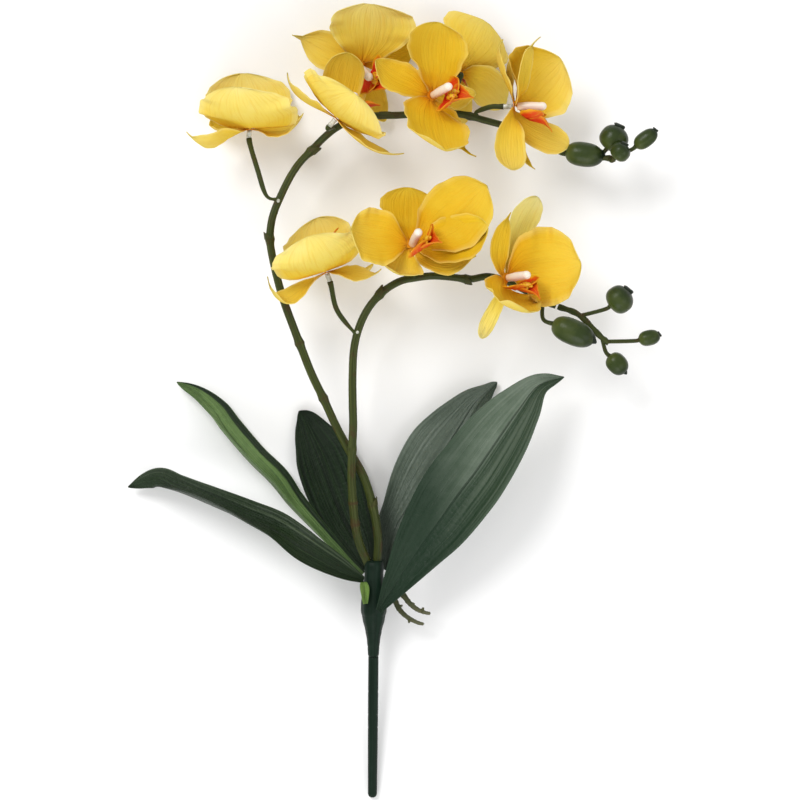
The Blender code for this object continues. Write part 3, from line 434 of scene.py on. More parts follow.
class Shape:
    """Vertices and faces gathered from several surfaces into one piece."""

    def __init__(self):
        self.verts = []
        self.faces = []
        self.place = []
        self.tone = []
        self.sharp = set()
        self.paint = []

    def add(self, verts, faces, place, tone=0.0, paint=0):
        shift = len(self.verts)
        self.verts += [Vector(v) for v in verts]
        self.place += [tuple(p) for p in place]
        self.tone += [tone] * len(verts) if isinstance(tone, (int, float)) else list(tone)
        self.faces += [tuple(k + shift for k in face) for face in faces]
        self.paint += [paint] * len(faces)
        return shift

    def shell(self, verts, faces, place, thickness, tone=0.0, thin=0.5):
        """A sheet with two sides and a rim. The front is where the faces point."""
        normals = [Vector() for _ in verts]
        edges = {}
        for face in faces:
            corners = [verts[k] for k in face]
            turn = Vector()
            for a, b in zip(corners, corners[1:] + corners[:1]):
                turn += (a - corners[0]).cross(b - corners[0])
            for k in face:
                normals[k] += turn
            for a, b in zip(face, face[1:] + face[:1]):
                edges[(a, b)] = edges.get((a, b), 0) + 1
        rim = [(a, b) for a, b in edges if (b, a) not in edges]
        on_rim = {k for edge in rim for k in edge}
        half = []
        for k, normal in enumerate(normals):
            if normal.length > 0:
                normal.normalize()
            half.append(thickness / 2 * (thin if k in on_rim else 1.0))
        count = len(verts)
        front = [v + n * h for v, n, h in zip(verts, normals, half)]
        back = [v - n * h for v, n, h in zip(verts, normals, half)]
        sides = list(faces) + [tuple(k + count for k in reversed(face)) for face in faces]
        sides += [(b, a, a + count, b + count) for a, b in rim]
        where = [(u, s, 1.0) for u, s in place] + [(u, s, 0.0) for u, s in place]
        tones = [tone] * (2 * count) if isinstance(tone, (int, float)) else list(tone) * 2
        shift = self.add(front + back, sides, where, tones)
        for a, b in rim:
            self.sharp.add(frozenset((a + shift, b + shift)))
            self.sharp.add(frozenset((a + count + shift, b + count + shift)))

    def sweep(self, route, radii, sides, tone=0.0, paint=0, shape=None):
        """A round or shaped stem along a route, closed at both ends."""
        count = len(route)
        verts, place = [], []
        up = None
        length = [0.0]
        for a, b in zip(route, route[1:]):
            length.append(length[-1] + (b - a).length)
        for i, point in enumerate(route):
            line = (route[min(i + 1, count - 1)] - route[max(i - 1, 0)]).normalized()
            if up is None:
                up = across(Vector((0.03, 0.02, 1.0)), line)
            up = across(up, line)
            side = line.cross(up)
            for k in range(sides):
                angle = 2 * pi * k / sides
                radius = radii[i] * (shape(i / (count - 1), angle) if shape else 1.0)
                verts.append(point + (up * cos(angle) + side * sin(angle)) * radius)
                place.append((k / sides, length[i] / length[-1], length[i]))
        faces = []
        for i in range(count - 1):
            for k in range(sides):
                j = (k + 1) % sides
                faces.append((i * sides + k, i * sides + j, (i + 1) * sides + j, (i + 1) * sides + k))
        verts += [route[0], route[-1]]
        place += [(0.5, 0.0, 0.0), (0.5, 1.0, length[-1])]
        foot, top = count * sides, count * sides + 1
        for k in range(sides):
            j = (k + 1) % sides
            faces.append((foot, j, k))
            faces.append((top, (count - 1) * sides + k, (count - 1) * sides + j))
        self.add(verts, faces, place, tone, paint)

    def piece(self, name, nodes, paints):
        mesh = bpy.data.meshes.new(name)
        mesh.from_pydata([tuple(v) for v in self.verts], [], self.faces)
        for made in paints:
            mesh.materials.append(made)
        place = mesh.attributes.new("place", "FLOAT_VECTOR", "POINT")
        place.data.foreach_set("vector", [x for p in self.place for x in p])
        tone = mesh.attributes.new("tone", "FLOAT", "POINT")
        tone.data.foreach_set("value", self.tone)
        mesh.polygons.foreach_set("material_index", self.paint)
        mesh.polygons.foreach_set("use_smooth", [True] * len(mesh.polygons))
        if self.sharp:
            hard = mesh.attributes.new("sharp_edge", "BOOLEAN", "EDGE")
            hard.data.foreach_set("value", [frozenset(e.vertices) in self.sharp for e in mesh.edges])
        mesh.update()
        item = bpy.data.objects.new(name, mesh)
        bpy.context.scene.collection.objects.link(item)
        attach(item, "root")
        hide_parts(*nodes)


class Paint:
    """A Principled material and the nodes that feed it."""

    def __init__(self, name, roughness, **sockets):
        self.made = bpy.data.materials.new(name)
        self.made.use_nodes = True
        self.tree = self.made.node_tree
        self.shader = self.tree.nodes["Principled BSDF"]
        self.shader.inputs["Roughness"].default_value = roughness
        for key, value in sockets.items():
            self.shader.inputs[key.replace("_", " ")].default_value = value
        split = self.node("ShaderNodeSeparateXYZ", self.attribute("place", "Vector"))
        self.u, self.s, self.side = split.outputs
        self.tone = self.attribute("tone", "Fac")
        self.spot = self.tree.nodes.new("ShaderNodeTexCoord").outputs["Object"]

    def node(self, kind, *feeds, **settings):
        made = self.tree.nodes.new(kind)
        for key, value in settings.items():
            setattr(made, key, value)
        for socket, feed in zip(made.inputs, feeds):
            self.feed(feed, socket)
        return made

    def feed(self, source, socket):
        if isinstance(source, bpy.types.NodeSocket):
            self.tree.links.new(source, socket)
        elif source is not None:
            socket.default_value = source

    def attribute(self, name, output):
        made = self.tree.nodes.new("ShaderNodeAttribute")
        made.attribute_name = name
        return made.outputs[output]

    def math(self, operation, a, b=0.0, c=0.0):
        return self.node("ShaderNodeMath", a, b, c, operation=operation).outputs[0]

    def times(self, a, b):
        return self.math("MULTIPLY", a, b)

    def rest(self, value):
        return self.math("SUBTRACT", 1.0, value)

    def band(self, value, low, high):
        """0 below low, 1 above high, smooth between."""
        made = self.node("ShaderNodeMapRange", value, low, high, interpolation_type="SMOOTHSTEP")
        return made.outputs[0]

    def vector(self, x, y, z):
        return self.node("ShaderNodeCombineXYZ", x, y, z).outputs[0]

    def noise(self, vector, scale, detail=3.0, rough=0.55):
        made = self.node("ShaderNodeTexNoise")
        self.feed(vector, made.inputs["Vector"])
        made.inputs["Scale"].default_value = scale
        made.inputs["Detail"].default_value = detail
        made.inputs["Roughness"].default_value = rough
        return made.outputs[0]

    def streaks(self, wide, long, detail=2.0):
        """Noise drawn out along the piece."""
        vector = self.vector(self.times(self.u, wide), self.times(self.s, long),
                             self.times(self.tone, 7.3))
        return self.noise(vector, 1.0, detail)

    def ramp(self, value, *stops):
        made = self.tree.nodes.new("ShaderNodeValToRGB")
        self.feed(value, made.inputs[0])
        band = made.color_ramp
        for k, (place, colour) in enumerate(stops):
            stop = band.elements[k] if k < 2 else band.elements.new(place)
            stop.position = place
            stop.color = (*colour, 1.0)
        return made.outputs[0]

    def mix(self, share, a, b):
        made = self.tree.nodes.new("ShaderNodeMix")
        made.data_type = "RGBA"
        self.feed(share, made.inputs[0])
        self.feed(a if isinstance(a, bpy.types.NodeSocket) else (*a, 1.0), made.inputs[6])
        self.feed(b if isinstance(b, bpy.types.NodeSocket) else (*b, 1.0), made.inputs[7])
        return made.outputs[2]

    def wash(self, body, value, low, high, share, colour):
        """Lays a colour over the body where the value is high."""
        return self.mix(self.times(self.band(value, low, high), share), body, colour)

    def skin(self, *radius):
        """How far light travels under the surface, red, green and blue."""
        self.shader.inputs["Subsurface Radius"].default_value = radius
        self.shader.inputs["Subsurface Scale"].default_value = 1.0

    def bump(self, *layers):
        """Bumps laid over each other: (height, depth in metres)."""
        normal = None
        for height, depth in layers:
            made = self.tree.nodes.new("ShaderNodeBump")
            made.inputs["Strength"].default_value = 1.0
            made.inputs["Distance"].default_value = depth
            self.feed(height, made.inputs["Height"])
            if normal is not None:
                self.feed(normal, made.inputs["Normal"])
            normal = made.outputs[0]
        self.feed(normal, self.shader.inputs["Normal"])

    def finish(self, colour, *gloss):
        """The colour, and the roughness ramped over a value: (value, (place, roughness), ...)."""
        self.feed(colour, self.shader.inputs["Base Color"])
        if gloss:
            stops = [(place, (level,) * 3) for place, level in gloss[1:]]
            self.feed(self.ramp(gloss[0], *stops), self.shader.inputs["Roughness"])
        return self.made


def petal_paint():
    p = Paint("petal_cloth", 0.7, Subsurface_Weight=0.06, Specular_IOR_Level=0.06)
    p.skin(0.003, 0.0018, 0.0003)
    edge = p.math("ABSOLUTE", p.u)
    veins = p.streaks(9.0, 1.4, 3.0)
    fine = p.streaks(26.0, 2.2)
    mottle = p.noise(p.spot, 55.0)
    deep = p.ramp(p.s, (0.0, (0.66, 0.17, 0.003)), (0.12, (0.68, 0.3, 0.003)),
                  (0.4, (0.66, 0.37, 0.003)), (0.85, (0.69, 0.43, 0.005)), (1.0, (0.72, 0.5, 0.02)))
    pale = p.ramp(p.s, (0.0, (0.72, 0.32, 0.008)), (0.2, (0.74, 0.52, 0.035)),
                  (0.6, (0.8, 0.66, 0.15)), (1.0, (0.83, 0.74, 0.3)))
    face = p.mix(p.tone, deep, pale)
    back = p.ramp(p.s, (0.0, (0.72, 0.3, 0.008)), (0.22, (0.74, 0.52, 0.05)), (1.0, (0.76, 0.62, 0.17)))
    body = p.mix(p.times(p.rest(p.side), 0.6), face, back)
    rim = p.band(p.math("ADD", edge, p.times(veins, 0.25)), 0.9, 1.16)
    rim = p.times(rim, p.math("ADD", 0.25, p.times(p.tone, 0.6)))
    body = p.mix(rim, body, (0.78, 0.68, 0.26))
    lines = p.times(p.band(fine, 0.48, 0.66), 0.22)
    body = p.mix(lines, body, (0.66, 0.33, 0.004))
    body = p.wash(body, mottle, 0.4, 0.7, 0.28, (0.74, 0.54, 0.045))
    p.bump((veins, 0.0007), (fine, 0.0003), (p.noise(p.spot, 1500.0, 2.0), 0.00005))
    return p.finish(body, mottle, (0.2, 0.62), (0.8, 0.76))


def lip_paint():
    p = Paint("lip_cloth", 0.5, Subsurface_Weight=0.05, Specular_IOR_Level=0.2)
    p.skin(0.003, 0.0012, 0.0004)
    streak = p.streaks(11.0, 2.0, 3.0)
    edge = p.math("ABSOLUTE", p.u)
    body = p.ramp(p.s, (0.0, (0.56, 0.018, 0.003)), (0.45, (0.62, 0.032, 0.003)),
                  (0.82, (0.66, 0.07, 0.004)), (1.0, (0.7, 0.2, 0.006)))
    yellow = (0.74, 0.38, 0.008)
    body = p.wash(body, edge, 0.55, 1.0, p.tone, yellow)
    body = p.wash(body, streak, 0.56, 0.66, 0.4, yellow)
    body = p.wash(body, p.noise(p.spot, 420.0), 0.55, 0.7, 0.3, (0.6, 0.03, 0.006))
    p.bump((streak, 0.0004), (p.noise(p.spot, 900.0), 0.00012))
    return p.finish(body)


def callus_paint():
    p = Paint("callus_cloth", 0.42, Specular_IOR_Level=0.4)
    bars = p.noise(p.spot, 700.0)
    body = p.mix(p.band(bars, 0.52, 0.6), (0.76, 0.46, 0.012), (0.58, 0.05, 0.004))
    p.bump((bars, 0.0003))
    return p.finish(body)


def column_paint():
    p = Paint("column_plastic", 0.32, Subsurface_Weight=0.15, Specular_IOR_Level=0.45)
    p.skin(0.003, 0.002, 0.0015)
    patch = p.noise(p.spot, 240.0)
    body = p.ramp(p.s, (0.0, (0.8, 0.56, 0.3)), (0.25, (0.8, 0.68, 0.56)), (1.0, (0.84, 0.76, 0.66)))
    body = p.wash(body, patch, 0.5, 0.75, 0.35, (0.78, 0.52, 0.44))
    p.bump((p.noise(p.spot, 700.0), 0.0001))
    return p.finish(body)


def stem_paint(name, low, high, mark):
    """Moulded stem plastic: lengthwise flow lines and brown rubbed marks."""
    p = Paint(name, 0.48, Specular_IOR_Level=0.18)
    line = p.noise(p.vector(p.times(p.u, 16.0), p.times(p.side, 22.0), p.tone), 1.0, 3.0)
    patch = p.noise(p.spot, 130.0, 4.0, 0.6)
    body = p.mix(p.band(line, 0.35, 0.65), low, high)
    body = p.wash(body, patch, 0.52, 0.66, 0.75, mark)
    body = p.mix(p.band(p.tone, 0.3, 1.0), body, mark)
    p.bump((line, 0.00035), (p.noise(p.spot, 900.0), 0.00012))
    return p.finish(body, patch, (0.3, 0.36), (0.7, 0.52))


def clear_paint():
    p = Paint("clear_plastic", 0.25, Specular_IOR_Level=0.6, Coat_Weight=0.3)
    haze = p.noise(p.spot, 500.0)
    p.bump((haze, 0.00025))
    return p.finish(p.ramp(haze, (0.35, (0.26, 0.27, 0.2)), (0.65, (0.62, 0.62, 0.56))))


def leaf_paint(name, dark, light, sheen, rib, gloss, half=None, shine=0.3, foot=None):
    """Coated cloth leaf: parallel veins, a midrib line, fine cross emboss and patches of painted sheen.

    half is the tone of one side of the midrib: (dark, light, where it starts, where it is full).
    foot is the deeper tone towards the stem: (colour, where it is full, where it has gone).
    """
    p = Paint(name, gloss, Specular_IOR_Level=shine)
    edge = p.math("ABSOLUTE", p.u)
    veins = p.streaks(13.0, 1.6, 3.0)
    fine = p.streaks(44.0, 3.0)
    cross = p.noise(p.vector(p.times(p.u, 6.0), p.times(p.s, 60.0), p.tone), 1.0, 3.0)
    patch = p.noise(p.spot, 26.0, 4.0, 0.6)
    body = p.mix(p.band(veins, 0.36, 0.66), dark, light)
    # Painted sheen: lighter patches of the sheen colour laid over the leaf
    body = p.wash(body, patch, 0.42, 0.68, 0.6, sheen)
    # One side of the midrib in its own tone; on the fourth leaf the paler other side is painted sheen
    if half:
        other = p.mix(p.band(veins, 0.36, 0.66), half[0], half[1])
        seam = p.math("ADD", p.u, p.times(p.math("SUBTRACT", patch, 0.5), 0.25))
        body = p.mix(p.band(seam, half[2], half[3]), body, other)
    line = p.times(p.rest(p.band(edge, 0.012, 0.045)), 0.8)
    body = p.mix(line, body, rib)
    body = p.wash(body, edge, 0.92, 0.99, 0.7, dark)
    body = p.mix(p.times(p.rest(p.side), 0.35), body, light)
    # Deeper tone towards the stem; on the fourth leaf this is where the painted sheen fades out
    if foot:
        drift = p.math("ADD", p.s, p.times(p.u, 0.14))
        drift = p.math("ADD", drift, p.times(p.math("SUBTRACT", patch, 0.5), 0.2))
        deep = p.rest(p.band(drift, foot[1], foot[2]))
        body = p.mix(p.times(deep, 0.92), body, foot[0])
    p.bump((veins, 0.0008), (cross, 0.00075), (fine, 0.0002), (line, 0.0006))
    return p.finish(body, cross, (0.3, gloss - 0.06), (0.7, gloss + 0.1))


def bud_paint():
    p = Paint("bud_plastic", 0.3, Specular_IOR_Level=0.18, Coat_Weight=0.03, Coat_Roughness=0.25)
    patch = p.noise(p.spot, 120.0, 4.0)
    body = p.ramp(p.s, (0.0, (0.07, 0.09, 0.018)), (0.3, (0.03, 0.046, 0.009)),
                  (0.72, (0.024, 0.038, 0.009)), (1.0, (0.01, 0.018, 0.006)))
    body = p.wash(body, patch, 0.45, 0.68, 0.35, (0.06, 0.078, 0.016))
    body = p.mix(p.band(p.tone, 0.55, 1.0), body, (0.008, 0.014, 0.006))
    p.bump((patch, 0.0005), (p.noise(p.spot, 1000.0), 0.0001))
    return p.finish(body, patch, (0.3, 0.26), (0.7, 0.4))


def stake_paint():
    p = Paint("stake_plastic", 0.52, Specular_IOR_Level=0.12)
    line = p.noise(p.vector(p.times(p.u, 9.0), p.times(p.side, 14.0), 0.0), 1.0, 4.0)
    patch = p.noise(p.spot, 80.0, 4.0)
    rings = p.noise(p.vector(0.0, p.times(p.side, 420.0), 0.0), 1.0, 1.0)
    body = p.mix(p.band(line, 0.35, 0.65), (0.003, 0.01, 0.005), (0.006, 0.018, 0.01))
    body = p.wash(body, patch, 0.5, 0.7, 0.5, (0.01, 0.022, 0.014))
    p.bump((line, 0.0003), (rings, 0.00012), (p.noise(p.spot, 900.0), 0.00012))
    return p.finish(body, patch, (0.3, 0.36), (0.7, 0.52))


def root_paint():
    p = Paint("root_plastic", 0.7, Specular_IOR_Level=0.1)
    patch = p.noise(p.spot, 420.0, 4.0)
    body = p.ramp(p.s, (0.0, (0.035, 0.045, 0.018)), (0.6, (0.07, 0.075, 0.038)), (1.0, (0.11, 0.11, 0.065)))
    body = p.wash(body, patch, 0.5, 0.7, 0.6, (0.09, 0.08, 0.035))
    p.bump((patch, 0.0008))
    return p.finish(body)


def lobe_surface(shape, centre, facing, dorsal, spec, outline, grid, hub, claw, sheet, rng):
    """One petal as a sheet: outline, cup, groove and waves along its edge."""
    rows, cols = grid
    right = dorsal.cross(facing)
    out = right * sin(spec["azimuth"]) + dorsal * cos(spec["azimuth"])
    start = centre + out * hub
    end = centre + spec["tip"]
    chord = end - start
    line = chord.normalized()
    face = across(facing, line)
    face = face * cos(spec["roll"]) + line.cross(face) * sin(spec["roll"])
    lean = spec["lean"]
    first = start + (out * cos(lean) + facing * sin(lean)) * chord.length * FIRST_BEND
    second = start + chord * SECOND_BEND + face * spec["bow"] * 2.0
    phase = [rng.uniform(0.0, PHASE_RANGE) for _ in range(4)]
    wave = spec.get("wave", 0.0011) * min(1.0, spec["width"] / 0.045)
    pitch = spec.get("pitch", 2.3)
    verts, place = [], []
    for i in range(rows + 1):
        t = i / rows
        s = 1.0 - (1.0 - t) ** ROW_CROWDING
        r = 1.0 - s
        point = start * r ** 3 + first * (3 * r * r * s) + second * (3 * r * s * s) + end * s ** 3
        along = (first - start) * (r * r) + (second - first) * (2 * r * s) + (end - second) * (s * s)
        along.normalize()
        normal = across(facing.lerp(face, smooth(s / 0.45)), along)
        turn = spec["twist"] * s
        side = along.cross(normal)
        normal = normal * cos(turn) + side * sin(turn)
        side = along.cross(normal)
        share = outline_share(OUTLINES[spec.get("outline", outline)], s, spec.get("nib", 0.0))
        half = claw + (spec["width"] / 2 - claw) * share
        if i == rows:
            verts.append(point)
            place.append((0.0, 1.0))
            continue
        if share < 0.01 and s > 0.5:
            half = claw * 0.2
        if s > 0.5:
            half = min(half, max(spec["width"] / 2 * share, 0.0001))
        bend = max(0.01, spec["cup"] * smooth(s / 0.35))
        skew = spec.get("skew", 0.0) * sin(pi * min(1.0, s * 1.1))
        fade = smooth(s / 0.3) * (1.0 - 0.6 * s ** 6)
        for k in range(cols + 1):
            u = 1.0 - 2.0 * k / cols
            u = sin(u * pi / 2) * 0.35 + u * 0.65
            reach = half * (1.0 + skew * (1.0 if u > 0 else -1.0))
            lift = reach * (1 - cos(bend * u)) / bend
            spread = reach * sin(bend * u) / bend
            edge = abs(u)
            k0 = 0 if u > 0 else 1
            ripple = wave * edge ** 2.2 * sin(pitch * PHASE_RANGE * s + phase[k0] + u)
            ripple += wave * 0.45 * edge ** 3 * sin(pitch * 13.9 * s + phase[k0 + 2])
            swell = wave * 0.7 * sin(3.4 * u + phase[2]) * sin(2.9 * s + phase[3])
            groove = -GROOVE_DEPTH * exp(-(u / 0.07) ** 2) * (1.0 - s)
            fold = -FOLD_DEPTH * exp(-((edge - 0.42 * (1 - 0.3 * s)) / 0.06) ** 2) * (1.0 - s)
            rise = lift + (ripple + swell) * fade + groove + fold
            verts.append(point + side * spread + normal * rise)
            place.append((u, s))
    base_tone = spec.get("tone", 0.2) + rng.uniform(-0.05, 0.05)
    tones = [min(1.0, max(0.0, base_tone + spec.get("tilt", 0.0) * u)) for u, _ in place]
    shape.shell(verts, pointed_faces(rows, cols), place, sheet, tones)
    return verts[:cols + 1]


def hub_surface(shape, centre, facing, loops, sheet, tone):
    """The flat middle that the petals of one layer grow from."""
    ring = [point for loop in loops for point in loop]
    axis = (ring[0] - centre).normalized()
    other = facing.cross(axis)
    ring.sort(key=lambda p: atan2((p - centre).dot(other), (p - centre).dot(axis)))
    verts = [centre] + ring
    faces = [(0, k + 1, (k + 1) % len(ring) + 1) for k in range(len(ring))]
    shape.shell(verts, faces, [(0.0, 0.0)] * len(verts), sheet, tone)


def petal_layer(name, nodes, centre, facing, dorsal, specs, outline, grid, claw):
    shape = Shape()
    rng = random.Random(name)
    loops = [lobe_surface(shape, centre, facing, dorsal, spec, outline, grid,
                          HUB_RADIUS, claw, SHEET, rng) for spec in specs]
    hub_surface(shape, centre, facing, loops, SHEET, 0.2)
    shape.piece(name, nodes, [PAINT["petal"]])


def lip_piece(name, node, base, back, facing):
    """The three-lobed lip, a red bowl below the column, with its two-lobed callus."""
    lip_face = (back * 0.93 + facing * 0.36).normalized()
    lip_up = across(facing, lip_face)
    lip_side = lip_up.cross(lip_face)
    centre = base - back * LIP_OFFSET + facing * LIP_RISE
    shape = Shape()
    rng = random.Random(name)
    middle = lobe(0, lip_up * 0.019 - lip_face * 0.003, 0.0185, cup=1.0, bow=0.002, lean=-8,
                  wave=0.0012, nib=0.14, tone=0.5, pitch=1.6)
    wing = dict(cup=0.45, bow=-0.002, tone=0.85, wave=0.001, pitch=1.4)
    sides = tuple(lobe(turn, lip_side * out + lip_face * 0.0064 + lip_up * 0.0096, 0.0165, **wing)
                  for turn, out in ((80, 0.0096), (-80, -0.0096)))
    loops = [lobe_surface(shape, centre, lip_face, lip_up, spec, "tongue" if k == 0 else "wing",
                          LIP_GRID, LIP_HUB, LIP_CLAW_HALF, LIP_SHEET, rng)
             for k, spec in enumerate((middle,) + sides)]
    hub_surface(shape, centre, lip_face, loops, LIP_SHEET, 0.2)
    shape.piece(name + "_blade", [node], [PAINT["lip"]])
    mound = Shape()
    for side in (-1.0, 1.0):
        foot = centre + lip_face * 0.0006 + lip_side * side * 0.0012 + lip_up * 0.002
        top = foot + lip_up * 0.0085 + lip_face * 0.0016 + lip_side * side * 0.0012
        route = [foot.lerp(top, k / 10) + lip_face * 0.0012 * sin(pi * k / 10) for k in range(11)]
        radii = [0.0021 * sqrt(max(0.02, sin(pi * (k + 0.35) / 10.7))) for k in range(11)]
        mound.sweep(route, radii, 14)
    mound.piece(name + "_callus", [node], [PAINT["callus"]])


def column_piece(name, node, base, facing):
    """A smooth rod with a rounded cap and a faint neck under it."""
    route, radii = [], []
    for i in range(COLUMN_STEPS + 1):
        s = i / COLUMN_STEPS
        s = s if s < 0.7 else 0.7 + 0.3 * sin((s - 0.7) / 0.3 * pi / 2)
        size = 0.84 + 0.16 * smooth(s / 0.4)
        if s > 0.86:
            size *= sqrt(max(0.02, 1.0 - ((s - 0.86) / 0.14) ** 2))
        size *= 1.0 - 0.07 * exp(-((s - 0.74) / 0.02) ** 2)
        route.append(base + facing * COLUMN_LENGTH * s)
        radii.append(COLUMN_RADIUS * size)
    shape = Shape()

    def flat(s, angle):
        return 1.0 - 0.1 * smooth((s - 0.3) / 0.5) * max(0.0, cos(angle + 2.2)) ** 2

    shape.sweep(route, radii, 20, shape=flat)
    shape.piece(name, [node], [PAINT["column"]])


def pedicel_piece(name, node, route_points, clear):
    """A flower stalk: a swollen foot, a bent stem and the sleeve behind the flower."""
    route = spline(route_points, STALK_STEPS)
    total = sum((b - a).length for a, b in zip(route, route[1:]))
    radii = []
    run = 0.0
    cut = None
    for i, point in enumerate(route):
        if i:
            run += (point - route[i - 1]).length
        left = total - run
        radius = FOOT_RADIUS + (PEDICEL_RADIUS - FOOT_RADIUS) * smooth(run / max(0.006, total * 0.3))
        if run < 0.0025:
            radius *= 1.0 + 0.9 * (1.0 - run / 0.0025)
        if left < clear and cut is None:
            cut = i
        radii.append(radius)
    shape = Shape()
    split = max(2, min(STALK_STEPS - 2, cut if cut is not None else STALK_STEPS - 2))
    stem_radii = [r * (1.0 + 0.16 * smooth((i - split + 4) / 4.0)) for i, r in enumerate(radii[:split + 1])]
    shape.sweep(route[:split + 1], stem_radii, 14)
    sleeve = [radii[split] * (1.02 if k % 2 == 0 else 0.97) for k in range(len(route) - split)]
    shape.sweep(route[split:], sleeve, 14, paint=1)
    shape.piece(name, [node], [PAINT["stem"], PAINT["clear"]])


def flower_pieces(name, flower):
    centre = at(*flower["hub"])
    facing = Vector(flower["facing"]).normalized()
    dorsal = across(Vector(flower["dorsal"]), facing)
    step = SHEET + LAYER_GAP
    for spec in flower["sepals"]:
        spec["lean"] = SEPAL_LEAN
    petal_layer(f"{name}_sepal_layer", [f"{name}_sepals"], centre, facing, dorsal, flower["sepals"],
                "sepal", SEPAL_GRID, CLAW_HALF * 0.8)
    petal_layer(f"{name}_petal_layer", [f"{name}_petals"], centre + facing * step, facing, dorsal,
                flower["petals"], "petal", PETAL_GRID, CLAW_HALF)
    base = centre + facing * (step + SHEET + LAYER_GAP)
    column_piece(f"{name}_column_rod", f"{name}_column", base, facing)
    turn = radians(flower.get("lip_turn", 0.0))
    back = dorsal * cos(turn) - dorsal.cross(facing) * sin(turn)
    lip_piece(f"{name}_lip", f"{name}_lip", base, back, facing)
    foot = at(*flower["foot"])
    stem = min(SPIKE_ROUTES, key=lambda point: (point - foot).length)
    route = [stem + (foot - stem).normalized() * STEM_RADIUS * 0.45, foot + (foot - stem) * 0.2]
    route += [at(*p) for p in flower.get("via", ())]
    route += [centre - facing * 0.008, centre - facing * (SHEET / 2 + LAYER_GAP)]
    pedicel_piece(f"{name}_stalk", f"{name}_pedicel", route, SLEEVE_LENGTH)


def nearest(route, x, y):
    spot = at(x, y, 0.0)
    return min(range(len(route)), key=lambda i: (route[i].x - spot.x) ** 2 + (route[i].y - spot.y) ** 2)


def bract(shape, route, radii, index, angle, length, lift):
    """A small pointed scale that wraps the stem at a joint and stands off towards its tip."""
    here = route[index]
    step = min(len(route) - 2, max(1, index))
    line = (route[step + 1] - route[step - 1]).normalized()
    up = across(Vector((0.0, 0.0, 1.0)), line)
    side = line.cross(up)
    out = up * cos(angle) + side * sin(angle)
    flank = line.cross(out)
    rows, cols = BRACT_GRID
    verts, place = [], []
    for i in range(rows + 1):
        s = i / rows
        spread = 1.45 * (1.0 - s ** 1.6) ** 0.9 + 0.05
        radius = radii[index] * (1.06 + 0.05 * s)
        base = here + line * length * s + out * lift * s * s
        if i == rows:
            verts.append(base + out * radius)
            place.append((0.0, 1.0))
            continue
        for k in range(cols + 1):
            u = 1.0 - 2.0 * k / cols
            turn = u * spread
            verts.append(base + (out * cos(turn) + flank * sin(turn)) * radius)
            place.append((u, s))
    shape.shell(verts, pointed_faces(rows, cols), place, BRACT_SHEET, BRACT_TONE)


def spike_piece(name, node, points, joints, bracts, blobs):
    """A flower spike: a round stem that steps and swells at its joints."""
    route = spline([at(*p) for p in points], SPIKE_STEPS)
    neck = route[0] + (route[0] - route[1]).normalized() * 0.003
    route = [neck] + route
    radii = [STEM_RADIUS * (1.0 - 0.22 * i / SPIKE_STEPS) for i in range(SPIKE_STEPS + 2)]
    tones = [0.0] * len(route)
    rng = random.Random(name)
    for x, y, swell, brown in joints:
        index = nearest(route, x, y)
        for j in range(max(0, index - 14), min(len(route), index + 15)):
            gap = (route[j] - route[index]).length * (1 if j >= index else -1)
            bump = exp(-(gap / 0.0022) ** 2) * (0.75 if gap < 0 else 1.0)
            radii[j] *= 1.0 + swell * bump
            tones[j] = max(tones[j], brown * exp(-(gap / 0.0016) ** 2))
    for j in range(len(radii)):
        radii[j] *= 1.0 + rng.uniform(-0.012, 0.012)
    shape = Shape()
    sides = 18
    ring_tones = [tone for tone in tones for _ in range(sides)] + [0.0, 0.0]

    def ribs(s, angle):
        return 1.0 + 0.035 * cos(3 * angle + 9.0 * s) + 0.015 * cos(7 * angle - 14.0 * s)

    shape.sweep(route, radii, sides, tone=ring_tones, shape=ribs)
    for x, y, angle, length, lift in bracts:
        bract(shape, route, radii, nearest(route, x, y), radians(angle), length, lift)
    shape.piece(name, [node], [PAINT["stem"]])
    if blobs:
        glue = Shape()
        for x, y, size in blobs:
            index = nearest(route, x, y)
            here = route[index]
            along = (route[index + 1] - route[index - 1]).normalized()
            above = Vector((0, 0, radii[index] * 0.55))
            drop = [here + along * (k - 4) * size * 0.3 + above for k in range(9)]
            sizes = [size * sqrt(max(0.02, sin(pi * (k + 0.4) / 8.8))) for k in range(9)]
            glue.sweep(drop, sizes, 12)
        glue.piece(name + "_glue", [node], [PAINT["clear"]])


